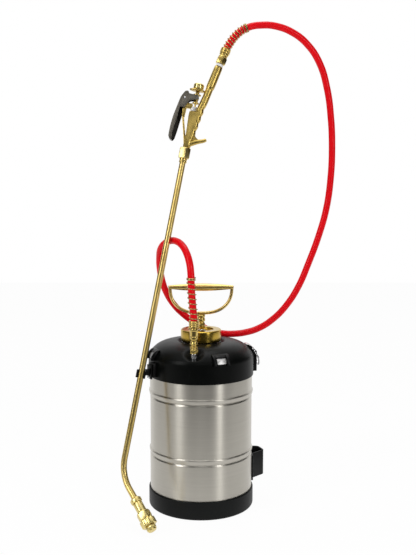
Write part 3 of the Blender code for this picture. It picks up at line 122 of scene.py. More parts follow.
class Finish:
    """A material under construction, with its Principled shader."""

    def __init__(self, name):
        self.material = bpy.data.materials.new(name)
        self.material.use_nodes = True
        self.tree = self.material.node_tree
        self.shader = self.tree.nodes["Principled BSDF"]

    def node(self, kind, settings=None, *values, out=0, **named):
        made = self.tree.nodes.new(kind)
        for key, value in (settings or {}).items():
            setattr(made, key, value)
        for key, value in enumerate(values):
            self.feed(made.inputs[key], value)
        for key, value in named.items():
            self.feed(made.inputs[key.replace("_", " ")], value)
        return Field(self, made.outputs[out])

    def feed(self, socket, value):
        """Link a field to a socket, or set the socket to a plain value."""
        if isinstance(value, Field):
            self.tree.links.new(value.socket, socket)
        else:
            socket.default_value = value

    def place(self):
        """Object coordinates in metres."""
        return self.node("ShaderNodeTexCoord", out=3)

    def axes(self, vector):
        split = self.node("ShaderNodeSeparateXYZ", None, vector).socket.node
        return [Field(self, split.outputs[k]) for k in range(3)]

    def stretched(self, scale):
        return self.node("ShaderNodeMapping", None, self.place(), Scale=scale)

    def noise(self, vector, scale, detail=2.0, roughness=0.5):
        return self.node(
            "ShaderNodeTexNoise", None, Vector=vector, Scale=scale, Detail=detail, Roughness=roughness
        )

    def mixed(self, share, first, second):
        """A colour between two others, on the colour sockets of a Mix node."""
        made = self.tree.nodes.new("ShaderNodeMix")
        made.data_type = "RGBA"
        self.feed(made.inputs[0], share)
        made.inputs[6].default_value = (*first, 1.0)
        made.inputs[7].default_value = (*second, 1.0)
        return Field(self, made.outputs[2])

    def bumped(self, height, strength, distance=FINE_BUMP):
        return self.node("ShaderNodeBump", None, Strength=strength, Distance=distance, Height=height)

    def set(self, **sockets):
        for key, value in sockets.items():
            self.feed(self.shader.inputs[key.replace("_", " ")], value)
        return self.material


print("shader expressions ready")

# %% [markdown]
# ## Brushed steel
#
# The tank is stainless sheet, brushed round its girth. The brush leaves fine scratches that run level,
# so highlights spread up and down in soft upright bands. Noise that is stretched level and squeezed
# upright gives those scratches, and a slow cloud over them makes the hand-rubbed unevenness. The
# spread itself is the shader's own anisotropy, given a quarter turn so that it runs upright. The
# trigger's outside is plain dark steel, and the faces in its hollow get a near-black steel, which is
# painted shade for the shadow inside the channel.

# %% Steel finishes
BRUSH_TURN = 0.25


def brushed_steel(name, light, dark, rough, spread, level=30.0, upright=2600.0):
    finish = Finish(name)
    streak = finish.noise(finish.stretched((level, level, upright)), 1.0, 3.0, 0.6)
    broad = finish.noise(finish.stretched((level / 3, level / 3, upright / 7)), 1.0, 2.0, 0.5)
    cloud = finish.noise(finish.place(), 22.0, 2.0, 0.5)
    shade = (streak * 0.6 + broad * 0.4).clamped()
    return finish.set(
        Base_Color=finish.mixed(shade, dark, light),
        Metallic=1.0,
        Roughness=(rough + (shade - 0.5) * 0.12 + (cloud - 0.5) * 0.06).clamped(),
        Anisotropic=spread,
        Anisotropic_Rotation=BRUSH_TURN,
        Normal=finish.bumped(streak + broad * 0.5, 0.03),
    )


def drawn_steel(name, light, dark, rough):
    finish = Finish(name)
    grain = finish.noise(finish.place(), 420.0, 3.0, 0.6)
    cloud = finish.noise(finish.place(), 60.0, 2.0, 0.5)
    return finish.set(
        Base_Color=finish.mixed(cloud, dark, light),
        Metallic=1.0,
        Roughness=(rough + (grain - 0.5) * 0.18).clamped(),
        Normal=finish.bumped(grain, 0.05),
    )


tank_steel = brushed_steel("tank_steel", (0.58, 0.555, 0.495), (0.43, 0.408, 0.360), 0.36, 0.85)
clip_steel = brushed_steel("clip_steel", (0.80, 0.79, 0.78), (0.66, 0.65, 0.64), 0.44, 0.5, 90.0, 1800.0)
wire_steel = drawn_steel("wire_steel", (0.72, 0.72, 0.73), (0.50, 0.50, 0.51), 0.20)
rod_steel = drawn_steel("rod_steel", (0.70, 0.70, 0.71), (0.56, 0.56, 0.57), 0.16)
trigger_steel = drawn_steel("trigger_steel", (0.29, 0.27, 0.225), (0.19, 0.172, 0.14), 0.36)
# painted shade: a near-black steel for the shadowed faces inside the trigger's channel
scale_steel = drawn_steel("scale_steel", (0.045, 0.042, 0.036), (0.022, 0.020, 0.017), 0.42)
print("steel finishes:", tank_steel.name, clip_steel.name, wire_steel.name, trigger_steel.name)

# %% [markdown]
# ## Brass
#
# Brass shows everywhere on this sprayer: polished on the nut, handle and lance, and as it came from
# the mould on the valve. Handled brass is never one colour. It is bright where it rubs and browner
# where it doesn't, so two tones are mixed by a cloud, and the browner tone is also a little rougher.


# %% Brass finishes
def brass(name, bright, dull, rough, skin=0.005):
    finish = Finish(name)
    cloud = finish.noise(finish.place(), 34.0, 3.0, 0.6)
    speck = finish.noise(finish.place(), 900.0, 2.0, 0.6)
    tarnish = ((cloud - 0.42) * 2.4 + (speck - 0.5) * 0.4).clamped()
    marks = finish.noise(finish.place(), 2400.0, 3.0, 0.6)
    return finish.set(
        Base_Color=finish.mixed(tarnish, bright, dull),
        Metallic=1.0,
        Roughness=(rough + tarnish * 0.06 + (marks - 0.5) * 0.08).clamped(),
        Normal=finish.bumped(marks, skin),
    )


nut_brass = brass("nut_brass", (0.53, 0.36, 0.065), (0.43, 0.275, 0.040), 0.22)
handle_brass = brass("handle_brass", (0.74, 0.55, 0.20), (0.62, 0.44, 0.14), 0.28)
lance_brass = brass("lance_brass", (0.68, 0.51, 0.18), (0.56, 0.40, 0.115), 0.33)
cast_brass = brass("cast_brass", (0.63, 0.46, 0.13), (0.52, 0.365, 0.090), 0.34, 0.003)
fitting_brass = brass("fitting_brass", (0.70, 0.52, 0.165), (0.57, 0.405, 0.105), 0.245)
tip_brass = brass("tip_brass", (0.76, 0.62, 0.25), (0.66, 0.51, 0.18), 0.29)
guard_wire = brass("guard_wire", (0.56, 0.41, 0.17), (0.37, 0.26, 0.10), 0.24)
print("brass finishes:", nut_brass.name, cast_brass.name, guard_wire.name)

# %% [markdown]
# ## Plastic, rubber, hose and tape
#
# The black ends are moulded plastic with a fine leathery skin, a little shinier where hands have
# polished it. The hose is glossy red vinyl: a thin clear coat over a deep colour gives its highlight
# line. The white ring at the valve is thread tape, wound on in thin overlapping turns.


# %% Plastic and rubber finishes
def moulded(name, colour, rough, skin, depth, shine=0.5):
    finish = Finish(name)
    pebble = finish.noise(finish.place(), skin, 2.0, 0.5)
    cloud = finish.noise(finish.place(), 35.0, 3.0, 0.6)
    scuff = finish.noise(finish.stretched((260.0, 260.0, 60.0)), 1.0, 4.0, 0.7)
    worn = ((scuff - 0.60) * 4.0).clamped()
    lighter = tuple(c * 1.8 + 0.002 for c in colour)
    return finish.set(
        Base_Color=finish.mixed(worn * 0.5 + cloud * 0.25, colour, lighter),
        Roughness=(rough + (cloud - 0.5) * 0.14 + worn * 0.08).clamped(),
        Specular_IOR_Level=shine,
        Normal=finish.bumped(pebble, depth),
    )


cap_plastic = moulded("cap_plastic", (0.0014, 0.0018, 0.0015), 0.36, 1500.0, 0.08, 0.10)
boot_plastic = moulded("boot_plastic", (0.0040, 0.0046, 0.0044), 0.44, 1300.0, 0.10, 0.14)
clip_plastic = moulded("clip_plastic", (0.0014, 0.0015, 0.0015), 0.36, 1400.0, 0.08, 0.15)
seal_rubber = moulded("seal_rubber", (0.0070, 0.0070, 0.0070), 0.16, 900.0, 0.04)
strainer_plastic = moulded("strainer_plastic", (0.014, 0.014, 0.014), 0.50, 1200.0, 0.08)
suction_tube = moulded("suction_tube", (0.52, 0.50, 0.43), 0.30, 900.0, 0.03)


def hose_vinyl():
    finish = Finish("hose_vinyl")
    cloud = finish.noise(finish.place(), 40.0, 2.0, 0.5)
    skin = finish.noise(finish.place(), 900.0, 2.0, 0.5)
    return finish.set(
        Base_Color=finish.mixed(cloud, (0.66, 0.0015, 0.006), (0.76, 0.003, 0.009)),
        Roughness=(0.24 + (cloud - 0.5) * 0.08).clamped(),
        Specular_IOR_Level=0.12,
        Coat_Weight=0.03,
        Coat_Roughness=0.12,
        Normal=finish.bumped(skin, 0.015),
    )


TAPE_TURNS = 5200.0


def thread_tape():
    finish = Finish("thread_tape")
    turns = (finish.axes(finish.place())[2] * TAPE_TURNS).wave()
    fray = finish.noise(finish.place(), 600.0, 3.0, 0.6)
    return finish.set(
        Base_Color=finish.mixed(
            (turns * 0.25 + fray * 0.5 + 0.1).clamped(), (0.86, 0.86, 0.85), (0.70, 0.70, 0.69)
        ),
        Roughness=0.55,
        Normal=finish.bumped(turns * 0.4 + fray, 0.35, 0.0004),
    )


def oiled_leather():
    finish = Finish("oiled_leather")
    grain = finish.noise(finish.place(), 700.0, 4.0, 0.65)
    return finish.set(
        Base_Color=finish.mixed(grain, (0.13, 0.060, 0.025), (0.24, 0.125, 0.055)),
        Roughness=(0.55 + grain * 0.2).clamped(),
        Normal=finish.bumped(grain, 0.4, 0.0005),
    )


red_vinyl = hose_vinyl()
white_tape = thread_tape()
cup_leather = oiled_leather()
print("plastic finishes:", cap_plastic.name, red_vinyl.name, white_tape.name)

# %% [markdown]
# ## Helpers for modelling
#
# Most pieces are turned on a lathe or cut from plate, so two helpers do nearly all the work. A line is
# drawn by extruding one corner point after point. Spinning it gives a turned piece; filling and
# extruding it gives a plate. A Bevel then breaks the edges, because a sharp edge never catches light.


# %% Modelling helpers
WELD = 1e-6
CORNER_SHARE = 0.45


def take(piece):
    """Make one piece the only selected and the active one."""
    bpy.ops.object.select_all(action="DESELECT")
    piece.select_set(True)
    bpy.context.view_layer.objects.active = piece
    return piece


def edit(piece):
    take(piece)
    bpy.ops.object.mode_set(mode="EDIT")
    bpy.ops.mesh.select_mode(type="VERT")
    bpy.ops.mesh.select_all(action="SELECT")


def leave():
    bpy.ops.object.mode_set(mode="OBJECT")


def drawn_line(name, points):
    """A chain of edges through the points, pulled out of a plane that is merged to one corner."""
    bpy.ops.object.select_all(action="DESELECT")
    bpy.ops.mesh.primitive_plane_add(size=0.01, location=(0.0, 0.0, 0.0))
    piece = bpy.context.object
    piece.name = name
    points = [Vector(p) for p in points]
    bpy.ops.object.mode_set(mode="EDIT")
    bpy.ops.mesh.select_mode(type="VERT")
    bpy.ops.mesh.select_all(action="SELECT")
    bpy.ops.mesh.merge(type="CENTER")
    bpy.ops.transform.translate(value=points[0])
    for here, there in zip(points, points[1:]):
        bpy.ops.mesh.extrude_vertices_move(TRANSFORM_OT_translate={"value": there - here})
    leave()
    return piece


def close_up(piece):
    """Merge what lies on top of itself and point the faces outwards."""
    edit(piece)
    bpy.ops.mesh.remove_doubles(threshold=WELD)
    bpy.ops.mesh.select_all(action="SELECT")
    bpy.ops.mesh.normals_make_consistent(inside=False)
    leave()
    return piece


def settle(piece, matrix):
    """Move a piece's mesh to its place, with the object left at the origin."""
    if matrix is not None:
        piece.data.transform(matrix)
    return piece


def turned(name, profile, steps, matrix=None):
    """A closed profile of (radius, height) spun about Z."""
    piece = drawn_line(name, [(radius, 0.0, height) for radius, height in profile])
    edit(piece)
    bpy.ops.mesh.spin(steps=steps, angle=math.tau, center=(0.0, 0.0, 0.0), axis=(0.0, 0.0, 1.0))
    leave()
    close_up(piece)
    return settle(piece, matrix)


def modified(piece, kind, **settings):
    """Add a modifier, set it and apply it."""
    take(piece)
    step = piece.modifiers.new(kind.lower(), kind)
    for key, value in settings.items():
        setattr(step, key, value)
    bpy.ops.object.modifier_apply(modifier=step.name)
    return piece


def broken_edges(piece, width, segments=2, angle=30.0):
    return modified(
        piece, "BEVEL", width=width, segments=segments, limit_method="ANGLE", angle_limit=math.radians(angle)
    )


def smooth(piece, angle=40.0):
    take(piece)
    bpy.ops.object.shade_smooth_by_angle(angle=math.radians(angle))
    return piece


def plate(name, outline, thickness, matrix=None):
    """A flat outline of (across, up), filled and pulled out along Y to both sides."""
    low = -thickness / 2
    piece = drawn_line(name, [(across, low, up) for across, up in outline])
    edit(piece)
    bpy.ops.mesh.edge_face_add()
    bpy.ops.mesh.extrude_region_move(TRANSFORM_OT_translate={"value": (0.0, thickness, 0.0)})
    leave()
    close_up(piece)
    return settle(piece, matrix)


def hexagon(name, radius, bottom, top, turn):
    """A plain six-sided bar, standing on Z."""
    bpy.ops.object.select_all(action="DESELECT")
    bpy.ops.mesh.primitive_cylinder_add(
        vertices=6, radius=radius, depth=top - bottom, location=(0.0, 0.0, (top + bottom) / 2),
        rotation=(0.0, 0.0, turn),
    )
    piece = bpy.context.object
    piece.name = name
    bpy.ops.object.transform_apply(location=True, rotation=True, scale=True)
    return piece


def rounded_block(name, size, centre, width, matrix=None):
    bpy.ops.object.select_all(action="DESELECT")
    bpy.ops.mesh.primitive_cube_add(size=1.0, location=centre)
    piece = bpy.context.object
    piece.name = name
    piece.scale = size
    bpy.ops.object.transform_apply(location=True, rotation=True, scale=True)
    broken_edges(piece, width, 3)
    smooth(piece)
    return settle(piece, matrix)


def cut(piece, tool, operation="DIFFERENCE"):
    """Take one piece out of another, or keep only what both share, and delete the tool."""
    modified(piece, "BOOLEAN", object=tool, operation=operation, solver="EXACT")
    bpy.data.objects.remove(tool, do_unlink=True)
    return piece


def joined(name, *parts):
    """Several meshes made one object under the first one's name."""
    bpy.ops.object.select_all(action="DESELECT")
    for part in parts:
        part.select_set(True)
    bpy.context.view_layer.objects.active = parts[0]
    bpy.ops.object.join()
    parts[0].name = name
    return parts[0]


def rod(name, points, radius, closed=False, matrix=None, sides=5, radii=None):
    """A round bar along the points, made a mesh."""
    curve = bpy.data.curves.new(name, "CURVE")
    curve.dimensions = "3D"
    spline = curve.splines.new("POLY")
    spline.points.add(len(points) - 1)
    for k, point in enumerate(points):
        spline.points[k].co = (*point, 1.0)
        spline.points[k].radius = radii[k] / radius if radii else 1.0
    spline.use_cyclic_u = closed
    spline.use_smooth = True
    curve.bevel_depth = radius
    curve.bevel_resolution = sides
    curve.use_fill_caps = True
    piece = bpy.data.objects.new(name, curve)
    bpy.context.scene.collection.objects.link(piece)
    take(piece)
    bpy.ops.object.convert(target="MESH")
    piece = bpy.context.object
    close_up(piece)
    smooth(piece, 50.0)
    return settle(piece, matrix)


def arc(centre, radius, start, end, count):
    """Points on an arc, with angles in degrees."""
    found = []
    for k in range(count):
        angle = math.radians(start + (end - start) * k / (count - 1))
        found.append((centre[0] + radius * math.cos(angle), centre[1] + radius * math.sin(angle)))
    return found


def rounded(points, reach, steps=4):
    """A polyline whose inner corners are replaced by short curves, for profiles and outlines."""
    points = [Vector((*p, 0.0)) for p in points]
    found = [points[0].to_2d()]
    for before, here, after in zip(points, points[1:], points[2:]):
        room = min(reach, (here - before).length * CORNER_SHARE, (after - here).length * CORNER_SHARE)
        start = here + (before - here).normalized() * room
        end = here + (after - here).normalized() * room
        for k in range(steps + 1):
            t = k / steps
            found.append((start * (1 - t) ** 2 + here * 2 * t * (1 - t) + end * t * t).to_2d())
    found.append(points[-1].to_2d())
    return [tuple(p) for p in found]


def lathed(name, corners, reach, softness, steps, matrix=None):
    """A smooth turned piece whose profile has its corners rounded."""
    return smooth(turned(name, rounded(corners, reach, softness), steps, matrix))


def rounded_loop(points, reach, steps=4):
    """The same for a closed outline, so that its first corner is rounded too."""
    middle = tuple((a + b) / 2 for a, b in zip(points[0], points[-1]))
    return rounded([middle, *points, middle], reach, steps)[:-1]


def standing(origin, up, right=(1.0, 0.0, 0.0)):
    """The frame whose Z is up and whose X is right, made square to it."""
    up = Vector(up).normalized()
    right = Vector(right)
    right = (right - right.dot(up) * up).normalized()
    matrix = Matrix((right, up.cross(right), up)).transposed().to_4x4()
    matrix.translation = origin
    return matrix


def turn_to(degrees):
    """The turn about Z that points +X to an angle counted from the front towards the right."""
    return Matrix.Rotation(math.radians(degrees) - math.pi / 2, 4, "Z")


def fit(piece, body, finish, *stands_for, slot):
    """Give a piece its finish, let it ride on its body and hide the solids that it stands for."""
    piece.data.materials.clear()
    piece.data.materials.append(finish)
    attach(piece, body)
    if stands_for:
        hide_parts(*stands_for)
    return piece


print("helpers ready")

# %% [markdown]
# ## The hose
#
# The hose is half-inch vinyl, stiff enough to stand in a wide loop between its two fittings. It comes
# straight up out of the outlet, turns over behind the lance, rests on the cap behind the nut, and
# rises on the right to the valve. A Bezier curve through the given points bends as a hose does.

# %% Hose route
HOSE_RADIUS = 0.0055
HOSE_STEPS = 24
OUTLET = Vector((-0.0108, -0.0700, 0.0))
LANCE_TOP = Vector((-0.0247, -0.0134, 0.5716))
LANCE_CORNER = Vector((-0.12266, -0.08307, 0.07429))
LANCE_TIP = Vector((-0.0713, -0.1385, 0.0075))
GUN = standing(LANCE_TOP, LANCE_TOP - LANCE_CORNER)
TIP = standing(LANCE_TIP, LANCE_CORNER - LANCE_TIP)
BARREL_FOOT = Vector((0.0142, 0.0, 0.0760))
BARREL_END = Vector((0.02675, 0.0, 0.1380))
barrel_lean = math.atan2(BARREL_END.x - BARREL_FOOT.x, BARREL_END.z - BARREL_FOOT.z)
COUPLING = GUN @ Matrix.Translation(BARREL_END) @ Matrix.Rotation(barrel_lean, 4, "Y")
LOWER_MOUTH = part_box("hose_ferrule_lower")[1].z
LOWER_GRIP = 0.0077
UPPER_MOUTH = 0.0299
UPPER_GRIP = 0.0057
HOSE_ROUTE = (
    (-0.0127, -0.0700, 0.3360),
    (-0.0147, -0.0700, 0.3640),
    (-0.0153, -0.0700, 0.3840),
    (-0.0172, -0.0668, 0.3995),
    (-0.0217, -0.0589, 0.4140),
    (-0.0291, -0.0464, 0.4255),
    (-0.0391, -0.0315, 0.4310),
    (-0.0476, -0.0209, 0.4307),
    (-0.0562, -0.0106, 0.4265),
    (-0.0643, 0.0037, 0.4157),
    (-0.0670, 0.0187, 0.4000),
    (-0.0669, 0.0285, 0.3830),
    (-0.0637, 0.0350, 0.3615),
    (-0.0560, 0.0405, 0.3390),
    (-0.0430, 0.0505, 0.3170),
    (-0.0318, 0.0559, 0.3045),
    (-0.0167, 0.0590, 0.2920),
    (0.0034, 0.0600, 0.2800),
    (0.0219, 0.0590, 0.2720),
    (0.0387, 0.0580, 0.2690),
    (0.0554, 0.0580, 0.2687),
    (0.0746, 0.0585, 0.2710),
    (0.0973, 0.0605, 0.2780),
    (0.1220, 0.0640, 0.2935),
    (0.1449, 0.0680, 0.3170),
    (0.1645, 0.0710, 0.3480),
    (0.1798, 0.0730, 0.3840),
    (0.1980, 0.0735, 0.4350),
    (0.2092, 0.0720, 0.4790),
    (0.2149, 0.0685, 0.5300),
    (0.2155, 0.0640, 0.5800),
    (0.2121, 0.0590, 0.6260),
    (0.2045, 0.0530, 0.6710),
    (0.1905, 0.0460, 0.7115),
    (0.1700, 0.0390, 0.7395),
    (0.1450, 0.0330, 0.7575),
    (0.1159, 0.0265, 0.7665),
    (0.0959, 0.0225, 0.7670),
    (0.0768, 0.0188, 0.7638),
    (0.0603, 0.0152, 0.7553),
)
lower_mouth = OUTLET + Vector((0.0, 0.0, LOWER_MOUTH))
upper_mouth = COUPLING @ Vector((0.0, 0.0, UPPER_MOUTH))
hose_points = [lower_mouth - Vector((0.0, 0.0, LOWER_GRIP)), lower_mouth]
hose_points += [Vector(p) for p in HOSE_ROUTE]
hose_points += [upper_mouth, COUPLING @ Vector((0.0, 0.0, UPPER_MOUTH - UPPER_GRIP))]

hose_curve = bpy.data.curves.new("hose_tube", "CURVE")
hose_curve.dimensions = "3D"
hose_curve.resolution_u = 10
hose_line = hose_curve.splines.new("BEZIER")
hose_line.bezier_points.add(len(hose_points) - 1)
for knot, point in zip(hose_line.bezier_points, hose_points):
    knot.co = point
    knot.handle_left_type = knot.handle_right_type = "AUTO"
hose_curve.bevel_depth = HOSE_RADIUS
hose_curve.bevel_resolution = 8
hose_curve.use_fill_caps = True
hose = bpy.data.objects.new("hose_tube", hose_curve)
bpy.context.scene.collection.objects.link(hose)
bpy.context.view_layer.update()
fit(hose, "tank", red_vinyl, "hose", slot="red_hose")


def hose_middle():
    """Close points along the hose's middle line, with the length reached at each."""
    knots = hose_line.bezier_points
    line = []
    for here, there in zip(knots, knots[1:]):
        line += interpolate_bezier(here.co, here.handle_right, there.handle_left, there.co, HOSE_STEPS)[:-1]
    line.append(knots[-1].co.copy())
    reached = [0.0]
    for here, there in zip(line, line[1:]):
        reached.append(reached[-1] + (there - here).length)
    return line, reached


hose_line_points, hose_reached = hose_middle()
HOSE_LENGTH = hose_reached[-1]
print("hose length", round(HOSE_LENGTH, 4))

# %% [markdown]
# ## The wire guards
#
# A coil of springy brass wire over each end keeps the hose from kinking at its fitting. On the real
# one the last two turns at the free end are wound close together. The coil follows the hose's own
# middle line, with its side carried along from point to point so that it doesn't twist.

# %% Wire guards
GUARD_WIRE = 0.0008
GUARD_GAP = 0.00025
GUARD_START = 0.0014
LOWER_GUARD_END = 0.0740
UPPER_GUARD_REACH = 0.0550
GUARD_TURNS = 8
CLOSE_TURNS = 2
CLOSE_PITCH = 2.3 * GUARD_WIRE
TURN_STEPS = 20


def hose_at(length):
    """The point on the hose's middle line at a length from its lower end."""
    for k in range(1, len(hose_reached)):
        if hose_reached[k] >= length:
            share = (length - hose_reached[k - 1]) / (hose_reached[k] - hose_reached[k - 1])
            return hose_line_points[k - 1].lerp(hose_line_points[k], share)
    return hose_line_points[-1]


def guard(name, start, end):
    """A coil with even turns and a few close ones at its free end."""
    close = math.copysign(CLOSE_PITCH, end - start)
    even_end = end - close * CLOSE_TURNS
    even_steps = GUARD_TURNS * TURN_STEPS
    lengths = [start + (even_end - start) * k / even_steps for k in range(even_steps)]
    lengths += [even_end + close * k / TURN_STEPS for k in range(CLOSE_TURNS * TURN_STEPS + 1)]
    middle = [hose_at(length) for length in lengths]
    radius = HOSE_RADIUS + GUARD_WIRE + GUARD_GAP
    side = Vector((1.0, 0.0, 0.0))
    points = []
    for k, centre in enumerate(middle):
        along = (middle[min(k + 1, len(middle) - 1)] - middle[max(k - 1, 0)]).normalized()
        side = (side - side.dot(along) * along).normalized()
        turn = Matrix.Rotation(-k * math.tau / TURN_STEPS, 3, along)
        points.append(centre + turn @ side * radius)
    return rod(name, points, GUARD_WIRE, sides=2)


lower_guard = guard("lower_hose_guard", LOWER_GRIP + GUARD_START, LOWER_GUARD_END)
upper_guard = guard(
    "upper_hose_guard", HOSE_LENGTH - UPPER_GRIP - GUARD_START, HOSE_LENGTH - UPPER_GUARD_REACH
)
fit(lower_guard, "tank", guard_wire, "hose_spring_lower", slot="cast_brass")
fit(upper_guard, "tank", guard_wire, "hose_spring_upper", slot="cast_brass")
print("guards", len(lower_guard.data.vertices), len(upper_guard.data.vertices))

# %% [markdown]
# ## The tank
#
# The tank wall is one sheet with two beads rolled into it, which stiffen it like the hoops of a barrel.
# Only its profile matters, so it is drawn once, with a soft rib and a groove at each bead, and spun. The
# middle panel lies half a millimetre deeper than the ends, as on the real tank.

# %% Tank wall
TANK_RADIUS = 0.0825
TANK_SHEET = 0.0012
PANEL_RECESS = 0.0005
BEADS = (0.1865, 0.0915)
BEAD_RISE = 0.0015
GROOVE_DEPTH = 0.0012
BEAD_MARGIN = 0.0012
ROUND_STEPS = 144
BEAD_SHAPE = (
    (0.00, 0.0050), (0.45, 0.0044), (0.90, 0.0037), (1.00, 0.0029), (0.95, 0.0020),
    (0.80, 0.0008), (0.60, -0.0005), (0.38, -0.0017), (0.10, -0.0028),
)
GROOVE_SHAPE = (
    (0.55, -0.0035), (0.95, -0.0041), (1.00, -0.0046), (0.85, -0.0051), (0.35, -0.0058), (0.00, -0.0064),
)


def bead(centre, above, below):
    """A rolled rib that slopes back downwards into a narrow groove, listed downwards."""
    rib = [(above + BEAD_RISE * share, centre + height) for share, height in BEAD_SHAPE]
    groove = [(below - GROOVE_DEPTH * share, centre + height) for share, height in GROOVE_SHAPE]
    return rib + groove


panel_radius = TANK_RADIUS - PANEL_RECESS
wall_low, wall_high = (corner.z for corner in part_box("tank_wall"))
wall_side = [(TANK_RADIUS, wall_high)]
for height, above, below in zip(BEADS, (TANK_RADIUS, panel_radius), (panel_radius, TANK_RADIUS)):
    wall_side.append((above, height + BEAD_SHAPE[0][1] + BEAD_MARGIN))
    wall_side += bead(height, above, below)
    wall_side.append((below, height + GROOVE_SHAPE[-1][1] - BEAD_MARGIN))
wall_side.append((TANK_RADIUS, wall_low))
inner_side = [(TANK_RADIUS - 2 * TANK_SHEET, wall_low), (TANK_RADIUS - 2 * TANK_SHEET, wall_high)]
tank_shell = turned("tank_shell", wall_side + inner_side + wall_side[:1], ROUND_STEPS)
smooth(tank_shell)
fit(tank_shell, "tank", tank_steel, "tank_wall", slot="brushed_steel")
print("tank shell faces", len(tank_shell.data.polygons))

# %% [markdown]
# ## The boot and the cap
#
# Both ends are moulded plastic. The boot is a shallow cup with a rolled lip and a rounded foot. The cap
# is a domed lid with a wide shoulder; it dips a little round the pump nut, and a dimple is pressed into
# it where the outlet comes through. Proportional editing presses it: a few corners go down, and their
# neighbours follow less and less.

# %% Boot
BOOT_OUTER = 0.0848
BOOT_BORE = 0.0827
BOOT_HEIGHT = 0.0300
BOOT_FLOOR = 0.0042
BOOT_FOOT = 0.0040
LIP_INSIDE = 0.0828
LIP_ROUND = 0.0008
LIP_OUTSIDE = 0.0010
boot_side = [(0.0, BOOT_FLOOR), (BOOT_BORE, BOOT_FLOOR), (LIP_INSIDE, BOOT_HEIGHT - LIP_ROUND)]
boot_side += arc((LIP_INSIDE + LIP_ROUND, BOOT_HEIGHT - LIP_ROUND), LIP_ROUND, 180, 60, 5)
boot_side += arc((BOOT_OUTER - LIP_OUTSIDE, BOOT_HEIGHT - LIP_ROUND - LIP_OUTSIDE), LIP_OUTSIDE, 60, 0, 4)
boot_side += arc((BOOT_OUTER - BOOT_FOOT, BOOT_FOOT), BOOT_FOOT, 0, -90, 9)
boot_side += [(0.0, 0.0)]
boot = turned("tank_boot", boot_side, ROUND_STEPS)
smooth(boot)
fit(boot, "tank", boot_plastic, "base_boot", slot="black_plastic")
print("boot faces", len(boot.data.polygons))

# %% Cap
CAP_RADIUS = 0.0845
CAP_WALL = 0.0017
CAP_BOTTOM = 0.2148
CAP_WALL_TOP = 0.2430
CAP_SHOULDER = 0.0140
CAP_CROWN = 0.2692
CAP_WELL = 0.0054
CAP_FOOT = 0.0006
CAP_CHAMFER = 0.0005
WELL_EDGE = 0.0325
WELL_RISE = 0.0065
CROWN_START = 0.0270
CROWN_STEP = 0.0012
CROWN_POINTS = 46
CROWN_POWER = 6.2
INSIDE_RADII = (0.077, 0.072, 0.066, 0.060, 0.045, 0.040, 0.036, 0.033, 0.027)
SHOULDER_ARC = 36
SHOULDER_MIDDLE = (CAP_RADIUS - CAP_SHOULDER, CAP_WALL_TOP)
SHOULDER_EDGE = SHOULDER_MIDDLE[0] + CAP_SHOULDER * math.cos(math.radians(SHOULDER_ARC))
SHOULDER_HEIGHT = CAP_WALL_TOP + CAP_SHOULDER * math.sin(math.radians(SHOULDER_ARC))
DIMPLE_DEPTH = 0.0092
DIMPLE_REACH = 0.0150
DIMPLE_FLAT = 0.0030


def cap_height(radius):
    """The crown's height, with a shallow well round the pump nut."""
    crown = CAP_CROWN - (CAP_CROWN - SHOULDER_HEIGHT) * (radius / SHOULDER_EDGE) ** CROWN_POWER
    rise = min(max((radius - WELL_EDGE) / WELL_RISE, 0.0), 1.0)
    return crown - CAP_WELL * (1 - rise * rise * (3 - 2 * rise))


crown_radii = [CROWN_START + CROWN_STEP * k for k in range(CROWN_POINTS)]
cap_crown = [(radius, cap_height(radius)) for radius in crown_radii]
cap_shoulder = arc(SHOULDER_MIDDLE, CAP_SHOULDER, SHOULDER_ARC, 0, 12)
cap_foot = [(CAP_RADIUS, CAP_BOTTOM + CAP_FOOT), (CAP_RADIUS - CAP_CHAMFER, CAP_BOTTOM)]
cap_inside = [(CAP_RADIUS - CAP_WALL, CAP_BOTTOM), (CAP_RADIUS - CAP_WALL, CAP_WALL_TOP)]
cap_inside += arc(SHOULDER_MIDDLE, CAP_SHOULDER - CAP_WALL, 8, SHOULDER_ARC, 5)
cap_inside += [(radius, cap_height(radius) - CAP_WALL) for radius in INSIDE_RADII]
cap = turned("tank_cap", cap_crown + cap_shoulder + cap_foot + cap_inside + cap_crown[:1], ROUND_STEPS)
edit(cap)
bpy.ops.mesh.select_all(action="DESELECT")
leave()
for corner in cap.data.vertices:
    corner.select = (corner.co.xy - OUTLET.xy).length < DIMPLE_FLAT and corner.co.z > CAP_WALL_TOP
bpy.ops.object.mode_set(mode="EDIT")
bpy.ops.transform.translate(
    value=(0.0, 0.0, -DIMPLE_DEPTH), use_proportional_edit=True, proportional_edit_falloff="SMOOTH",
    proportional_size=DIMPLE_REACH,
)
leave()
smooth(cap, 35.0)
fit(cap, "tank", cap_plastic, "top_cap", slot="black_plastic")
print("cap faces", len(cap.data.polygons))

# %% [markdown]
# ## Strap clips, ring and bracket
#
# A carrying strap hooks on four bright strips on the cap's shoulder, each between two small black ears.
# Three of them hug the shoulder under a black bar. The right-hand one arches clear of it and carries a
# wire ring, and below it a black loop on the tank takes the strap's end. A strip is bent sheet, so its
# side view is drawn as a ribbon and pulled out to its width.

# %% Strap clips
CLIP_ANGLES = {"front": 22, "right": 100, "rear": 202, "left": -68}
CLIP_SHEET = 0.0012
CLIP_WIDTH = 0.0155
CLIP_BEND = 0.0015
STRIP_LIFT = 0.0010
STRIP_EDGE = 0.00025
ARCH_RADIUS = 0.0188
EAR_WIDTHS = {"front": 0.0056, "right": 0.0023, "rear": 0.0046, "left": 0.0046}
EAR_GAP = 0.0003
EAR = {"low": 0.0125, "high": 0.0188, "first": 66, "last": 4}
BAR = {"low": 0.0160, "high": 0.0177, "first": 78, "last": 48}
BLOCK_STEPS = 14
BLOCK_EDGE = 0.0007


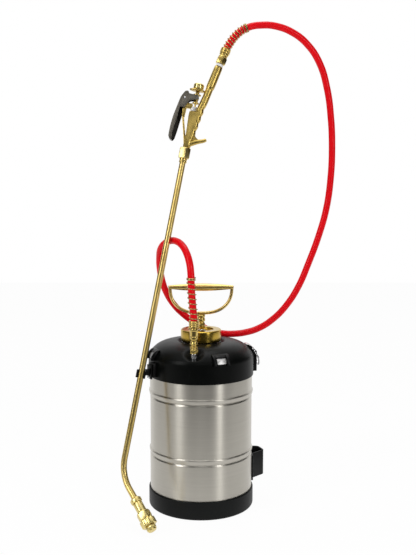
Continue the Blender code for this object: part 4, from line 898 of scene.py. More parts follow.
def ribbon(points, thickness):
    """The outline of a bent strip whose middle runs through the points."""
    points = [Vector(p) for p in points]
    left, right = [], []
    for k, point in enumerate(points):
        before = points[max(k - 1, 0)]
        after = points[min(k + 1, len(points) - 1)]
        along = (after - before).normalized()
        side = Vector((-along.y, along.x)) * thickness / 2
        left.append(tuple(point + side))
        right.append(tuple(point - side))
    return left + right[::-1]


def shoulder_block(name, shape, width, matrix):
    """A black block that follows the cap's shoulder between two heights above its middle."""
    outline = arc(SHOULDER_MIDDLE, shape["high"], shape["first"], shape["last"], BLOCK_STEPS)
    outline += arc(SHOULDER_MIDDLE, shape["low"], shape["last"], shape["first"], BLOCK_STEPS)
    piece = plate(name, outline, width, matrix)
    broken_edges(piece, BLOCK_EDGE)
    fit(smooth(piece), "tank", clip_plastic, slot="black_plastic")


flat_line = arc(SHOULDER_MIDDLE, CAP_SHOULDER + STRIP_LIFT, 64, 12, 12)
arched_line = [(CAP_RADIUS - 0.0114, cap_height(CAP_RADIUS - 0.0110) + 0.0007)]
arched_line += [(r - 0.0004, z) for r, z in arc(SHOULDER_MIDDLE, ARCH_RADIUS, 66, 24, 8)]
arched_line += [(CAP_RADIUS + 0.0013, CAP_WALL_TOP + 0.0040), (CAP_RADIUS + 0.0009, CAP_WALL_TOP - 0.0010)]

for side, angle in CLIP_ANGLES.items():
    strip_line = arched_line if side == "right" else flat_line
    outline = ribbon(rounded(strip_line, CLIP_BEND, 3), CLIP_SHEET)
    strip = plate("strap_strip_" + side, outline, CLIP_WIDTH, turn_to(angle))
    broken_edges(strip, STRIP_EDGE)
    smooth(strip)
    fit(strip, "tank", clip_steel, "strap_clip_" + side, slot="brushed_steel")
    ear_width = EAR_WIDTHS[side]
    across = (CLIP_WIDTH + ear_width) / 2 + EAR_GAP
    for hand, offset in (("a", -across), ("b", across)):
        place = turn_to(angle) @ Matrix.Translation((0.0, offset, 0.0))
        shoulder_block("strap_ear_" + side + "_" + hand, EAR, ear_width, place)
    if side != "right":
        shoulder_block("strap_bar_" + side, BAR, CLIP_WIDTH + 2 * ear_width, turn_to(angle))
print("strap clips:", len(CLIP_ANGLES))

# %% Strap ring and its pad
RING_ANGLE = CLIP_ANGLES["right"]
RING_HALF = 0.0123
RING_LENGTH = 0.0313
RING_CORNER = 0.0030
RING_WIRE = 0.0013
RING_BULGE = 0.0030
RING_HINGE = (0.08266, 0.0, 0.25474)
RING_LEAN = 0.3940
LANCE_ANGLE = -60
PAD_PROUD = 0.0065
PAD_ROOT = 0.0013
PAD_WIDTH = 0.0160
PAD_EDGE = 0.0012
PADS = {"lance_pad": (LANCE_ANGLE, 0.2190, 0.2414), "ring_pad": (RING_ANGLE, 0.2165, 0.2500)}
ring_matrix = turn_to(RING_ANGLE) @ Matrix.Translation(RING_HINGE) @ Matrix.Rotation(-RING_LEAN, 4, "Y")
ring_loop = arc((-RING_HALF + RING_CORNER, -RING_CORNER), RING_CORNER, 180, 90, 8)
ring_loop += arc((RING_HALF - RING_CORNER, -RING_CORNER), RING_CORNER, 90, 0, 8)
ring_loop += [
    (RING_HALF * x, -RING_LENGTH / 2 - RING_LENGTH / 2 * y) for x, y in arc((0.0, 0.0), 1.0, 0, 180, 40)
]
ring_path = [(RING_BULGE * math.sin(-math.pi * u / RING_LENGTH), a, u) for a, u in ring_loop]
ring = rod("strap_ring_wire", ring_path, RING_WIRE, True, ring_matrix, 4)
fit(ring, "ring", wire_steel, "strap_ring", slot="plain_steel")
for name, (angle, low, high) in PADS.items():
    size = (PAD_PROUD + PAD_ROOT, PAD_WIDTH, high - low)
    centre = (CAP_RADIUS + (PAD_PROUD - PAD_ROOT) / 2, 0.0, (low + high) / 2)
    pad = rounded_block(name, size, centre, PAD_EDGE, turn_to(angle))
    fit(pad, "tank", clip_plastic, slot="black_plastic")
print("ring vertices", len(ring.data.vertices))

# %% Strap bracket
BRACKET_ANGLE = 112
BRACKET_SHEET = 0.0025
BRACKET_GAP = 0.0003
BRACKET_PROUD = 0.0240
BRACKET_LOW = 0.0360
BRACKET_TALL = 0.0415
BRACKET_WIDTHS = (0.0340, 0.0280, 0.0225)
BRACKET_BEND = 0.0030
BRACKET_EDGE = 0.0006
NOSE_RADIUS = 0.0065
RIVET_RADIUS = 0.0024
RIVET_HEAD = 0.0012
RIVET_ROOT = 0.0006
RIVET_ACROSS = 0.0290
RIVET_HEIGHTS = {"low": 0.0465, "high": 0.0670}
bracket_wall = TANK_RADIUS + BRACKET_GAP + BRACKET_SHEET / 2
bracket_nose = bracket_wall + BRACKET_PROUD


def on_wall(across):
    return math.sqrt(bracket_wall**2 - across**2), across


half_line = [on_wall(across) for across in BRACKET_WIDTHS]
half_line += arc((bracket_nose - NOSE_RADIUS, NOSE_RADIUS), NOSE_RADIUS, 70, 0, 7)
bracket_line = half_line + [(r, -a) for r, a in reversed(half_line)]
bracket_outline = ribbon(rounded(bracket_line, BRACKET_BEND, 4), BRACKET_SHEET)
bracket = plate("strap_loop", bracket_outline, BRACKET_TALL, Matrix.Rotation(-math.pi / 2, 4, "X"))
bracket_lift = Matrix.Translation((0.0, 0.0, BRACKET_LOW + BRACKET_TALL / 2))
settle(bracket, turn_to(BRACKET_ANGLE) @ bracket_lift)
broken_edges(bracket, BRACKET_EDGE)
smooth(bracket)
fit(bracket, "tank", boot_plastic, "strap_bracket", slot="black_plastic")

rivet_profile = [(RIVET_RADIUS * x, RIVET_HEAD * y) for x, y in arc((0.0, 0.0), 1.0, 90, 0, 7)]
rivet_profile[0] = (0.0, RIVET_HEAD)
rivet_profile += [(RIVET_RADIUS, -RIVET_ROOT), (0.0, -RIVET_ROOT)]
for hand, across in (("a", -RIVET_ACROSS), ("b", RIVET_ACROSS)):
    angle = BRACKET_ANGLE + math.degrees(math.asin(across / bracket_wall))
    for level, height in RIVET_HEIGHTS.items():
        place = Matrix.Translation((bracket_wall + BRACKET_SHEET / 2, 0.0, height))
        place = turn_to(angle) @ place @ Matrix.Rotation(math.pi / 2, 4, "Y")
        head = turned("strap_loop_rivet_" + hand + "_" + level, rivet_profile, 20, place)
        fit(smooth(head), "tank", clip_plastic, slot="black_plastic")
print("bracket faces", len(bracket.data.polygons))

# %% [markdown]
# ## The pump
#
# The nut is a heavy turned ring of brass with a dished top. Under it a glossy rubber collar with small
# lobes fills the well in the cap: a cosine round the girth moves its outer corners. In the dish sits a
# black bush, and the steel rod runs through it up to the hub.

# %% Pump nut, collar and bush
NUT_RADIUS = 0.0325
NUT_BOTTOM = 0.2685
NUT_TOP = 0.2875
NUT_BORE = 0.0265
NUT_DISH = 0.2835
NUT_CEILING = 0.2805
ROD_HOLE = 0.0083
nut_profile = [(NUT_BORE, NUT_BOTTOM), (NUT_BORE, NUT_CEILING), (ROD_HOLE, NUT_CEILING), (ROD_HOLE, NUT_DISH)]
nut_profile += [(0.0185, NUT_DISH), (0.0200, 0.2850), (0.0200, 0.2868), (0.0207, NUT_TOP)]
nut_profile += [(0.0312, NUT_TOP), (NUT_RADIUS, NUT_TOP - 0.0013), (NUT_RADIUS, NUT_BOTTOM + 0.0012)]
nut_profile += [(0.0314, NUT_BOTTOM), (NUT_BORE, NUT_BOTTOM)]
nut = lathed("pump_nut_ring", nut_profile, 0.0006, 3, 128)
fit(nut, "pump", nut_brass, "pump_nut", slot="polished_brass")

COLLAR_LOBES = 20
LOBE_RISE = 0.0005
LOBE_START = 0.0300
collar_profile = [
    (0.0270, 0.2640), (0.0270, 0.2683), (0.0306, 0.2683), (0.0318, 0.2668), (0.0318, 0.2645),
    (0.0270, 0.2640),
]
collar = turned("neck_collar", rounded(collar_profile, 0.0008, 3), 120)
for corner in collar.data.vertices:
    reach = math.hypot(corner.co.x, corner.co.y)
    if reach > LOBE_START:
        wave = LOBE_RISE * math.cos(COLLAR_LOBES * math.atan2(corner.co.y, corner.co.x))
        corner.co.x *= 1 + wave / reach
        corner.co.y *= 1 + wave / reach
smooth(collar)
fit(collar, "tank", seal_rubber, slot="black_rubber")

bush_profile = [
    (0.0045, 0.2761), (0.0045, 0.2852), (0.0072, 0.2855), (0.0080, 0.2847), (0.0080, 0.2761),
    (0.0045, 0.2761),
]
bush = lathed("rod_guide", bush_profile, 0.0004, 2, 40)
fit(bush, "pump", seal_rubber, "rod_bush", slot="black_plastic")
print("nut faces", len(nut.data.polygons))

# %% [markdown]
# ## The plunger
#
# The rod, hub and handle move together. The hub is a stepped gland: a hexagon below, a groove, and a
# turned collar above. The handle is a spindle, thick in the middle for the palm, with a thin bow
# brazed to its ends, so one is turned and the other is a bar bent along half of a full, boxy ellipse.

# %% Rod and hub
ROD_RADIUS = 0.0042
ROD_LOW = 0.0883
ROD_HIGH = 0.3045
rod_profile = [(0.0, ROD_LOW), (ROD_RADIUS, ROD_LOW), (ROD_RADIUS, ROD_HIGH), (0.0, ROD_HIGH)]
piston_rod = lathed("plunger_rod", rod_profile, 0.0006, 2, 40)
fit(piston_rod, "plunger", rod_steel, "pump_rod", slot="plain_steel")

HUB_LOW = 0.2878
HUB_HIGH = 0.3107
HUB_STEPS = (
    (0.0, 0.0), (0.0060, 0.0), (0.0062, 0.0016), (0.0056, 0.0020), (0.0056, 0.0085), (0.0063, 0.0090),
    (0.0063, 0.0100), (0.0050, 0.0104), (0.0050, 0.0118), (0.0067, 0.0124), (0.0067, 0.0165),
    (0.0058, 0.0171), (0.0058, 0.0186), (0.0066, 0.0192),
)
hub_hex = hexagon("hub_hex", 0.0068, HUB_LOW + 0.0014, HUB_LOW + 0.0090, math.radians(12))
broken_edges(hub_hex, 0.0005)
hub_profile = [(radius, HUB_LOW + height) for radius, height in HUB_STEPS]
hub_profile += [(0.0066, HUB_HIGH - 0.0008), (0.0058, HUB_HIGH), (0.0, HUB_HIGH)]
hub_turned = turned("hub_turned", rounded(hub_profile, 0.0004, 2), 56)
hub = joined("plunger_hub", hub_turned, hub_hex)
smooth(hub)
fit(hub, "plunger", fitting_brass, "handle_hub", slot="cast_brass")
print("hub faces", len(hub.data.polygons))

# %% Handle
GRIP_HEIGHT = 0.3548
GRIP_HALF = 0.0522
GRIP_END = 0.0022
GRIP_THIN = 0.0029
GRIP_SWELL = 0.0031
GRIP_CHAMFER = 0.0007
GRIP_BELLY = GRIP_HALF - 0.0016
GRIP_POWER = 1.1
GRIP_STEPS = 12
BOW_SPAN = 0.0494
BOW_DROP = 0.0418
BOW_FULL = 0.82
BOW_RADIUS = 0.0026
grip_side = [(0.0, -GRIP_HALF), (GRIP_END, -GRIP_HALF), (GRIP_THIN, -GRIP_HALF + GRIP_CHAMFER)]
for step in range(-GRIP_STEPS, GRIP_STEPS + 1):
    share = step / GRIP_STEPS
    grip_side.append((GRIP_THIN + GRIP_SWELL * (1 - share**2) ** GRIP_POWER, share * GRIP_BELLY))
grip_side += [(GRIP_THIN, GRIP_HALF - GRIP_CHAMFER), (GRIP_END, GRIP_HALF), (0.0, GRIP_HALF)]
grip_matrix = Matrix.Translation((0.0, 0.0, GRIP_HEIGHT)) @ Matrix.Rotation(math.pi / 2, 4, "Y")
grip = turned("handle_grip", grip_side, 48, grip_matrix)
smooth(grip)
fit(grip, "plunger", handle_brass, "pump_handle", slot="polished_brass")
bow_points = [
    (BOW_SPAN * math.copysign(abs(x) ** BOW_FULL, x), 0.0, GRIP_HEIGHT - BOW_DROP * abs(y) ** BOW_FULL)
    for x, y in arc((0.0, 0.0), 1.0, 180, 360, 61)
]
bow = rod("handle_bow_bar", bow_points, BOW_RADIUS, sides=6)
fit(bow, "plunger", handle_brass, slot="polished_brass")
print("grip faces", len(grip.data.polygons), "bow faces", len(bow.data.polygons))

# %% [markdown]
# ## The outlet fittings
#
# From the dimple rises a steel stub, then a hexagon nut, a grooved swivel and a ferrule pressed over the
# hose. All are turned or hexagonal, and small rings and grooves are what makes them read as fittings.

# %% Hexagon nuts
HEX_EDGE = 0.00022
HOLE_EXTRA = 0.01


def hex_bar(name, radius, bottom, top, matrix, turn=0.0, chamfer=0.0009, bore=None):
    """A hexagon nut with its corners turned off at both ends by a cone, as real nuts have."""
    nut_piece = hexagon(name, radius, bottom, top, turn)
    face = 0.98 * radius * math.cos(math.pi / 6)
    girth = 1.01 * radius
    lathe_side = [(0.0, bottom), (face, bottom), (girth, bottom + chamfer)]
    lathe_side += [(girth, top - chamfer), (face, top), (0.0, top)]
    cut(nut_piece, turned(name + "_lathe", lathe_side, 48), "INTERSECT")
    if bore:
        low, high = bottom - HOLE_EXTRA, top + HOLE_EXTRA
        cut(nut_piece, turned(name + "_hole", [(0.0, low), (bore, low), (bore, high), (0.0, high)], 32))
    broken_edges(nut_piece, HEX_EDGE, 2, 20.0)
    smooth(nut_piece, 30.0)
    return settle(nut_piece, matrix)


print("hexagon nuts are chamfered and broken by", HEX_EDGE)

# %% Outlet fittings
STUB_RADIUS = 0.0047
STUB_GROOVE = 0.0043
STUB_RINGS = 4
STUB_PITCH = 0.0013
STUB_THREAD = 0.2552
outlet_matrix = Matrix.Translation((OUTLET.x, OUTLET.y, 0.0))
stub_profile = [(0.0, 0.2500), (STUB_RADIUS, 0.2500), (STUB_RADIUS, 0.2548)]
for k in range(STUB_RINGS):
    ring_base = STUB_THREAD + STUB_PITCH * k
    stub_profile += [(STUB_GROOVE, ring_base), (STUB_GROOVE, ring_base + 0.0003)]
    stub_profile += [(STUB_RADIUS, ring_base + 0.0006), (STUB_RADIUS, ring_base + 0.0010)]
stub_profile += [(0.0045, 0.2608), (0.0, 0.2608)]
stub = turned("outlet_pipe", stub_profile, 40, outlet_matrix)
smooth(stub)
fit(stub, "tank", wire_steel, "outlet_stub", slot="plain_steel")

swivel_hex = hex_bar("swivel_hex", 0.0068, 0.2611, 0.2676, outlet_matrix, math.radians(8))
swivel_ring_profile = [
    (0.0, 0.2674), (0.0056, 0.2674), (0.0060, 0.2684), (0.0060, 0.2694), (0.0054, 0.2700), (0.0061, 0.2706),
    (0.0061, 0.2715), (0.0054, 0.2719), (0.0, 0.2719),
]
swivel_ring = lathed("swivel_ring", swivel_ring_profile, 0.0003, 2, 48, outlet_matrix)
swivel = joined("swivel_gland", swivel_hex, swivel_ring)
fit(swivel, "tank", fitting_brass, "swivel_nut", slot="cast_brass")
swivel_profile = [
    (0.0, 0.2721), (0.0048, 0.2721), (0.0048, 0.2740), (0.0058, 0.2750), (0.0060, 0.2768),
    (0.0052, 0.2782), (0.0047, 0.2800), (0.0047, 0.2822), (0.0060, 0.2832), (0.0062, 0.2850),
    (0.0062, 0.2872), (0.0058, 0.2877), (0.0062, 0.2882), (0.0062, 0.2965), (0.0066, 0.2972),
    (0.0066, 0.2988), (0.0058, 0.2996), (0.0058, 0.3009), (0.0, 0.3009),
]
swivel_body = lathed("swivel_barrel", swivel_profile, 0.0005, 3, 48, outlet_matrix)
fit(swivel_body, "tank", fitting_brass, "swivel_body", slot="cast_brass")
print("outlet fittings made")

# %% Hose ferrules
FERRULE_RADIUS = 0.0080
FERRULE_CRIMP = 0.0007
FERRULE_RINGS = 3
FERRULE_END = 0.0010
FERRULE_MOUTH = 0.0057
MOUTH_DEPTH = 0.0050


def crimped(name, bottom, length, matrix):
    """A ferrule pressed on in rings, open where the hose goes in."""
    top = bottom + length
    outer = FERRULE_RADIUS
    neck = outer - FERRULE_CRIMP
    outside = [(0.0, bottom), (neck - 0.0004, bottom), (outer - 0.0001, bottom + 0.0008)]
    step = (length - 2 * FERRULE_END) / FERRULE_RINGS
    for k in range(FERRULE_RINGS):
        base = bottom + FERRULE_END + step * k
        outside += [(outer, base + step * 0.15), (outer, base + step * 0.60)]
        outside += [(neck, base + step * 0.78), (neck, base + step * 0.92)]
    outside += [(outer, top - 0.0006), (outer - 0.0004, top), (FERRULE_MOUTH, top)]
    outside += [(FERRULE_MOUTH, top - MOUTH_DEPTH), (0.0, top - MOUTH_DEPTH)]
    return lathed(name, outside, 0.00035, 2, 48, matrix)


lower_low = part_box("hose_ferrule_lower")[0].z
lower_ferrule = crimped("hose_ferrule_low_crimp", lower_low, LOWER_MOUTH - lower_low, outlet_matrix)
fit(lower_ferrule, "tank", fitting_brass, "hose_ferrule_lower", slot="cast_brass")
print("lower ferrule faces", len(lower_ferrule.data.polygons))

# %% [markdown]
# ## The lance
#
# The lance is brass tube, bent once near its end. It is a bar along a straight line, an arc and another
# straight line. Its clip on the tank is a springy plastic jaw on a short arm.

# %% Lance tube and top nut
LANCE_RADIUS = 0.00475
LANCE_BEND = 0.0550
LANCE_ENTRY = 0.0030
LANCE_END = 0.0205
STRAIGHT_STEPS = 12
BEND_STEPS = 24
END_STEPS = 4
lance_top = GUN @ Vector((0.0, 0.0, LANCE_ENTRY))
before = (LANCE_CORNER - lance_top).normalized()
after = (LANCE_TIP - LANCE_CORNER).normalized()
bend_angle = before.angle(after)
bend_reach = LANCE_BEND * math.tan(bend_angle / 2)
bend_axis = before.cross(after).normalized()
bend_start = LANCE_CORNER - before * bend_reach
bend_centre = bend_start + bend_axis.cross(before) * LANCE_BEND
lance_points = [lance_top + (bend_start - lance_top) * k / STRAIGHT_STEPS for k in range(STRAIGHT_STEPS)]
for k in range(BEND_STEPS + 1):
    bend_turn = Matrix.Rotation(bend_angle * k / BEND_STEPS, 3, bend_axis)
    lance_points.append(bend_centre + bend_turn @ (bend_start - bend_centre))
tube_end = LANCE_TIP - after * LANCE_END
lance_points += [lance_points[-1].lerp(tube_end, k / END_STEPS) for k in range(1, END_STEPS + 1)]
lance = rod("lance_pipe", lance_points, LANCE_RADIUS, sides=10)
fit(lance, "tank", lance_brass, "lance_tube", slot="polished_brass")

lance_nut = hex_bar(
    "lance_hex", radius=0.00925, bottom=-0.0135, top=0.0032, matrix=GUN, turn=math.radians(10),
    chamfer=0.0016, bore=0.0049,
)
fit(lance_nut, "tank", tip_brass, "lance_nut", slot="cast_brass")
ferrule_profile = [
    (0.00485, -0.0205), (0.0056, -0.0205), (0.0060, -0.0196), (0.0060, -0.0180), (0.0055, -0.0172),
    (0.0060, -0.0164), (0.0060, -0.0143), (0.0056, -0.0138), (0.00485, -0.0138), (0.00485, -0.0205),
]
lance_ferrule = lathed("lance_sleeve", ferrule_profile, 0.0003, 2, 40, GUN)
fit(lance_ferrule, "tank", fitting_brass, "lance_ferrule", slot="cast_brass")
print("lance faces", len(lance.data.polygons))

# %% Lance clip
HOLD_HEIGHT = 0.2275
JAW_GAP = 0.0015
JAW_LIP = (0.0068, -0.0052)
JAW_SHEET = 0.0022
JAW_WIDTH = 0.0120
ARM_WIDTH = 0.0080
ARM_HEIGHT = 0.0092
BASE_SIZE = (0.0025, 0.0140, 0.0220)
BASE_GAP = 0.0003
SCREW_DROP = 0.0080
SCREW_PROFILE = ((0.0, 0.0014), (0.0016, 0.0013), (0.0024, 0.0008), (0.0026, 0.0), (0.0, 0.0))
SCREW_SLOT = (0.0060, 0.0006, 0.0012)
hold_share = (HOLD_HEIGHT - LANCE_CORNER.z) / (LANCE_TOP.z - LANCE_CORNER.z)
hold_point = LANCE_CORNER.lerp(LANCE_TOP, hold_share)
hold_matrix = standing(hold_point, LANCE_TOP - LANCE_CORNER)
jaw_line = [JAW_LIP] + arc((0.0, 0.0), LANCE_RADIUS + JAW_GAP, -35, 215, 28) + [(-JAW_LIP[0], JAW_LIP[1])]
jaw_matrix = hold_matrix @ Matrix.Rotation(-math.pi / 2, 4, "X")
jaw = plate("lance_jaw", ribbon(jaw_line, JAW_SHEET), JAW_WIDTH, jaw_matrix)
broken_edges(jaw, 0.0004)
smooth(jaw)
clip_frame = turn_to(LANCE_ANGLE)
clip_base = CAP_RADIUS + PAD_PROUD + BASE_GAP
clip_reach = math.hypot(hold_point.x, hold_point.y)
arm_size = (clip_reach - clip_base - LANCE_RADIUS - 0.0006, ARM_WIDTH, ARM_HEIGHT)
arm_centre = ((clip_reach + clip_base - LANCE_RADIUS - 0.0008) / 2, 0.0, HOLD_HEIGHT)
arm = rounded_block("lance_arm", arm_size, arm_centre, 0.0012, clip_frame)
base_centre = (clip_base + BASE_SIZE[0] / 2, 0.0, HOLD_HEIGHT)
base = rounded_block("lance_base", BASE_SIZE, base_centre, 0.0008, clip_frame)
holder = joined("lance_holder", base, arm, jaw)
fit(holder, "tank", clip_plastic, "lance_clip", slot="black_plastic")
screw = turned("lance_holder_screw", SCREW_PROFILE, 32)
cut(screw, rounded_block("screw_slot", SCREW_SLOT, (0.0, 0.0, SCREW_PROFILE[0][1]), 0.0001))
screw_place = Matrix.Translation((clip_base + BASE_SIZE[0] + BASE_GAP, 0.0, HOLD_HEIGHT - SCREW_DROP))
settle(screw, clip_frame @ screw_place @ Matrix.Rotation(math.pi / 2, 4, "Y"))
smooth(screw)
fit(screw, "tank", wire_steel, "lance_clip_screw", slot="plain_steel")
print("holder faces", len(holder.data.polygons))

# %% [markdown]
# ## The spray tip
#
# The lance ends in a stack of brass: a collar, a sleeve, a rounded hexagon nut, a lobed knob that turns
# to choose the spray, and a small nozzle. Only the knob and the nozzle turn.

# %% Spray tip
TIP_GAP = 0.0003
NOZZLE_TOP = 0.0086
KNOB_TALL = 0.0105
TIP_NUT_TALL = 0.0130
SLEEVE_TALL = 0.0160
COLLAR_TALL = 0.0086
TIP_BORE = 0.0050
SLEEVE_RADIUS = 0.0073
SLEEVE_END = 0.0069
SLEEVE_CHAMFER = 0.0006
knob_low = NOZZLE_TOP + TIP_GAP
knob_high = knob_low + KNOB_TALL
nut_low = knob_high + TIP_GAP
nut_high = nut_low + TIP_NUT_TALL
sleeve_low = nut_high + TIP_GAP
sleeve_high = sleeve_low + SLEEVE_TALL
collar_low = sleeve_high + TIP_GAP
collar_high = collar_low + COLLAR_TALL

nozzle_hex = hex_bar("nozzle_hex", radius=0.0086, bottom=0.0022, top=NOZZLE_TOP, matrix=None, chamfer=0.0012)
nozzle_profile = [
    (0.0, 0.0012), (0.0009, 0.0012), (0.0018, 0.0), (0.0056, 0.0), (0.0066, 0.0008), (0.0069, 0.0030),
    (0.0, 0.0030),
]
nozzle_face = turned("nozzle_face", rounded(nozzle_profile, 0.0003, 3), 40)
nozzle = joined("spray_nozzle", nozzle_face, nozzle_hex)
settle(nozzle, TIP)
smooth(nozzle, 30.0)
fit(nozzle, "spray_tip", tip_brass, "nozzle", slot="cast_brass")

KNOB_LOBES = 8
KNOB_RADIUS = 0.0115
KNOB_WAVE = 0.0005
KNOB_FLATNESS = 3.0
KNOB_STEPS = 12 * KNOB_LOBES
lobe_outline = []
for k in range(KNOB_STEPS):
    angle = k * math.tau / KNOB_STEPS
    reach = KNOB_RADIUS + KNOB_WAVE * math.tanh(KNOB_FLATNESS * math.cos(KNOB_LOBES * angle))
    lobe_outline.append((reach * math.cos(angle), reach * math.sin(angle)))
knob = plate("spray_knob", lobe_outline, KNOB_TALL, Matrix.Rotation(-math.pi / 2, 4, "X"))
settle(knob, Matrix.Translation((0.0, 0.0, (knob_low + knob_high) / 2)))
broken_edges(knob, 0.0012, 3)
smooth(knob)
settle(knob, TIP)
fit(knob, "spray_tip", tip_brass, "tip_selector", slot="cast_brass")

tip_nut = hex_bar(
    "tip_hex", radius=0.0108, bottom=nut_low, top=nut_high, matrix=TIP, turn=math.radians(14),
    chamfer=0.0030, bore=TIP_BORE,
)
fit(tip_nut, "tank", tip_brass, "tip_nut", slot="cast_brass")
sleeve_profile = [
    (TIP_BORE, sleeve_low), (SLEEVE_END, sleeve_low), (SLEEVE_RADIUS, sleeve_low + SLEEVE_CHAMFER),
    (SLEEVE_RADIUS, sleeve_high - SLEEVE_CHAMFER), (SLEEVE_END, sleeve_high), (TIP_BORE, sleeve_high),
    (TIP_BORE, sleeve_low),
]
sleeve = lathed("tip_pipe", sleeve_profile, 0.0003, 2, 48, TIP)
fit(sleeve, "tank", tip_brass, "tip_sleeve", slot="cast_brass")
tip_collar_profile = [
    (TIP_BORE, collar_low), (0.0078, collar_low), (0.0088, collar_low + 0.0009),
    (0.0088, collar_low + 0.0060), (0.0072, collar_low + 0.0072), (0.0062, collar_high),
    (TIP_BORE, collar_high), (TIP_BORE, collar_low),
]
tip_collar = lathed("tip_ring", tip_collar_profile, 0.0005, 3, 48, TIP)
fit(tip_collar, "tank", tip_brass, "tip_collar", slot="cast_brass")
print("tip pieces made, collar at", round(collar_high, 4))

# %% [markdown]
# ## The trigger valve
#
# The valve is one brass casting: a thick rounded spine with finger waves runs from the lance nut up into
# the barrel, a flat web joins it to the stem's housing, a thin leg reaches out to the trigger's pivot and
# a hook hangs below. The spine and hook are bars of changing thickness. The web is a plate, thick enough
# to stand proud of the spine, and a short bridge runs from the leg to the stem.

# %% Valve spine and hook
SPINE = (
    (0.0010, 0.0036, 0.0060), (0.0022, 0.0090, 0.0058), (0.0030, 0.0150, 0.0054), (0.0040, 0.0215, 0.0054),
    (0.0062, 0.0270, 0.0062), (0.0052, 0.0330, 0.0046), (0.0082, 0.0385, 0.0065), (0.0068, 0.0445, 0.0047),
    (0.0100, 0.0500, 0.0067), (0.0086, 0.0560, 0.0049), (0.0116, 0.0615, 0.0067), (0.0106, 0.0670, 0.0052),
    (0.0130, 0.0725, 0.0062), (0.0150, 0.0800, 0.0060), (0.0180, 0.0948, 0.0058), (0.0190, 0.1000, 0.0058),
    (0.01925, 0.1012, 0.0059), (0.0195, 0.1024, 0.0067), (0.0200, 0.1047, 0.0068), (0.0262, 0.1352, 0.0068),
    (0.02675, 0.1380, 0.0062),
)
SPINE_RADIUS = 0.0060
HOOK = (
    (0.0040, 0.0100, 0.0044), (0.0090, 0.0128, 0.0044), (0.0140, 0.0152, 0.0040), (0.0190, 0.0170, 0.0034),
    (0.0236, 0.0184, 0.0031), (0.0270, 0.0202, 0.0029), (0.0290, 0.0218, 0.0024),
)
HOOK_RADIUS = 0.0030


def cast_bar(name, line, radius, sides):
    """A bar along a line of (right, up, radius), lying in the valve's own plane."""
    return rod(name, [(b, 0.0, a) for b, a, _ in line], radius, sides=sides, radii=[r for _, _, r in line])


spine = cast_bar("valve_spine", SPINE, SPINE_RADIUS, 8)
modified(spine, "SUBSURF", levels=1, render_levels=1)
hook = cast_bar("valve_hook", HOOK, HOOK_RADIUS, 6)
print("spine faces", len(spine.data.polygons), "hook faces", len(hook.data.polygons))

# %% Valve plates
WEB_THICKNESS = 0.0128
LEG_THICKNESS = 0.0066
LEG_WIDTH = 0.0031
GUSSET_THICKNESS = 0.0044
WEB_OUTLINE = (
    (-0.0042, 0.0036), (-0.0035, 0.0260), (-0.0050, 0.0520), (-0.0045, 0.0602), (0.0076, 0.0602),
    (0.0100, 0.0680), (0.0128, 0.0740), (0.0132, 0.0700), (0.0100, 0.0520), (0.0074, 0.0360),
    (0.0046, 0.0215), (0.0026, 0.0036),
)
BRIDGE_OUTLINE = (
    (-0.0145, 0.0500), (-0.0108, 0.0500), (-0.0102, 0.0650), (-0.0020, 0.0650), (-0.0012, 0.0690),
    (-0.0020, 0.0728), (-0.0145, 0.0728),
)
GUSSET_OUTLINE = (
    (0.0050, 0.0080), (0.0150, 0.0130), (0.0185, 0.0185), (0.0128, 0.0220), (0.0085, 0.0290),
    (0.0050, 0.0290),
)
PIVOT = (-0.0156, 0.0789)
LEG_LINE = (
    (-0.0020, 0.0055), (-0.0045, 0.0170), (-0.0072, 0.0285), (-0.0102, 0.0395), (-0.0131, 0.0500),
    (-0.0146, 0.0640), PIVOT,
)
web = plate("valve_web", rounded_loop(WEB_OUTLINE, 0.0016, 4), WEB_THICKNESS)
broken_edges(web, 0.0010, 3)
bridge = plate("valve_bridge", rounded_loop(BRIDGE_OUTLINE, 0.0010, 3), LEG_THICKNESS)
broken_edges(bridge, 0.0008)
gusset = plate("valve_gusset", rounded_loop(GUSSET_OUTLINE, 0.0016, 4), GUSSET_THICKNESS)
broken_edges(gusset, 0.0010)
leg = plate("valve_leg", ribbon(LEG_LINE, LEG_WIDTH), LEG_THICKNESS)
broken_edges(leg, 0.0009)
print("web faces", len(web.data.polygons))

# %% Valve housing, boss and brim
STEM_ACROSS = 0.0020
BRIM_ACROSS = 0.0012
BRIM_FLATTENED = 0.60
BOSS_HALF = 0.0045
housing_profile = [
    (0.0, 0.0330), (0.0040, 0.0330), (0.0056, 0.0400), (0.0058, 0.0605), (0.0040, 0.0609), (0.0, 0.0609),
]
stem_shift = Matrix.Translation((STEM_ACROSS, 0.0, 0.0))
housing = turned("valve_housing", rounded(housing_profile, 0.0006, 3), 40, stem_shift)
boss_profile = [
    (0.0, -BOSS_HALF), (0.0040, -BOSS_HALF), (0.0046, -0.0038), (0.0046, 0.0038), (0.0040, BOSS_HALF),
    (0.0, BOSS_HALF),
]
pivot_matrix = Matrix.Translation((PIVOT[0], 0.0, PIVOT[1])) @ Matrix.Rotation(math.pi / 2, 4, "X")
boss = turned("valve_boss", rounded(boss_profile, 0.0005, 2), 32, pivot_matrix)
brim_profile = [
    (0.0, 0.0938), (0.0118, 0.0938), (0.0126, 0.0945), (0.0126, 0.0955), (0.0116, 0.0962), (0.0, 0.0962),
]
brim = turned("valve_brim", rounded(brim_profile, 0.0004, 2), 56)
settle(brim, Matrix.Translation((BRIM_ACROSS, 0.0, 0.0)) @ Matrix.Diagonal((1.0, BRIM_FLATTENED, 1.0, 1.0)))
valve = joined("valve_casting", spine, web, bridge, hook, gusset, housing, leg, boss, brim)
settle(valve, GUN)
smooth(valve, 40.0)
fit(valve, "tank", cast_brass, "valve_body", slot="cast_brass")
print("valve casting faces", len(valve.data.polygons))

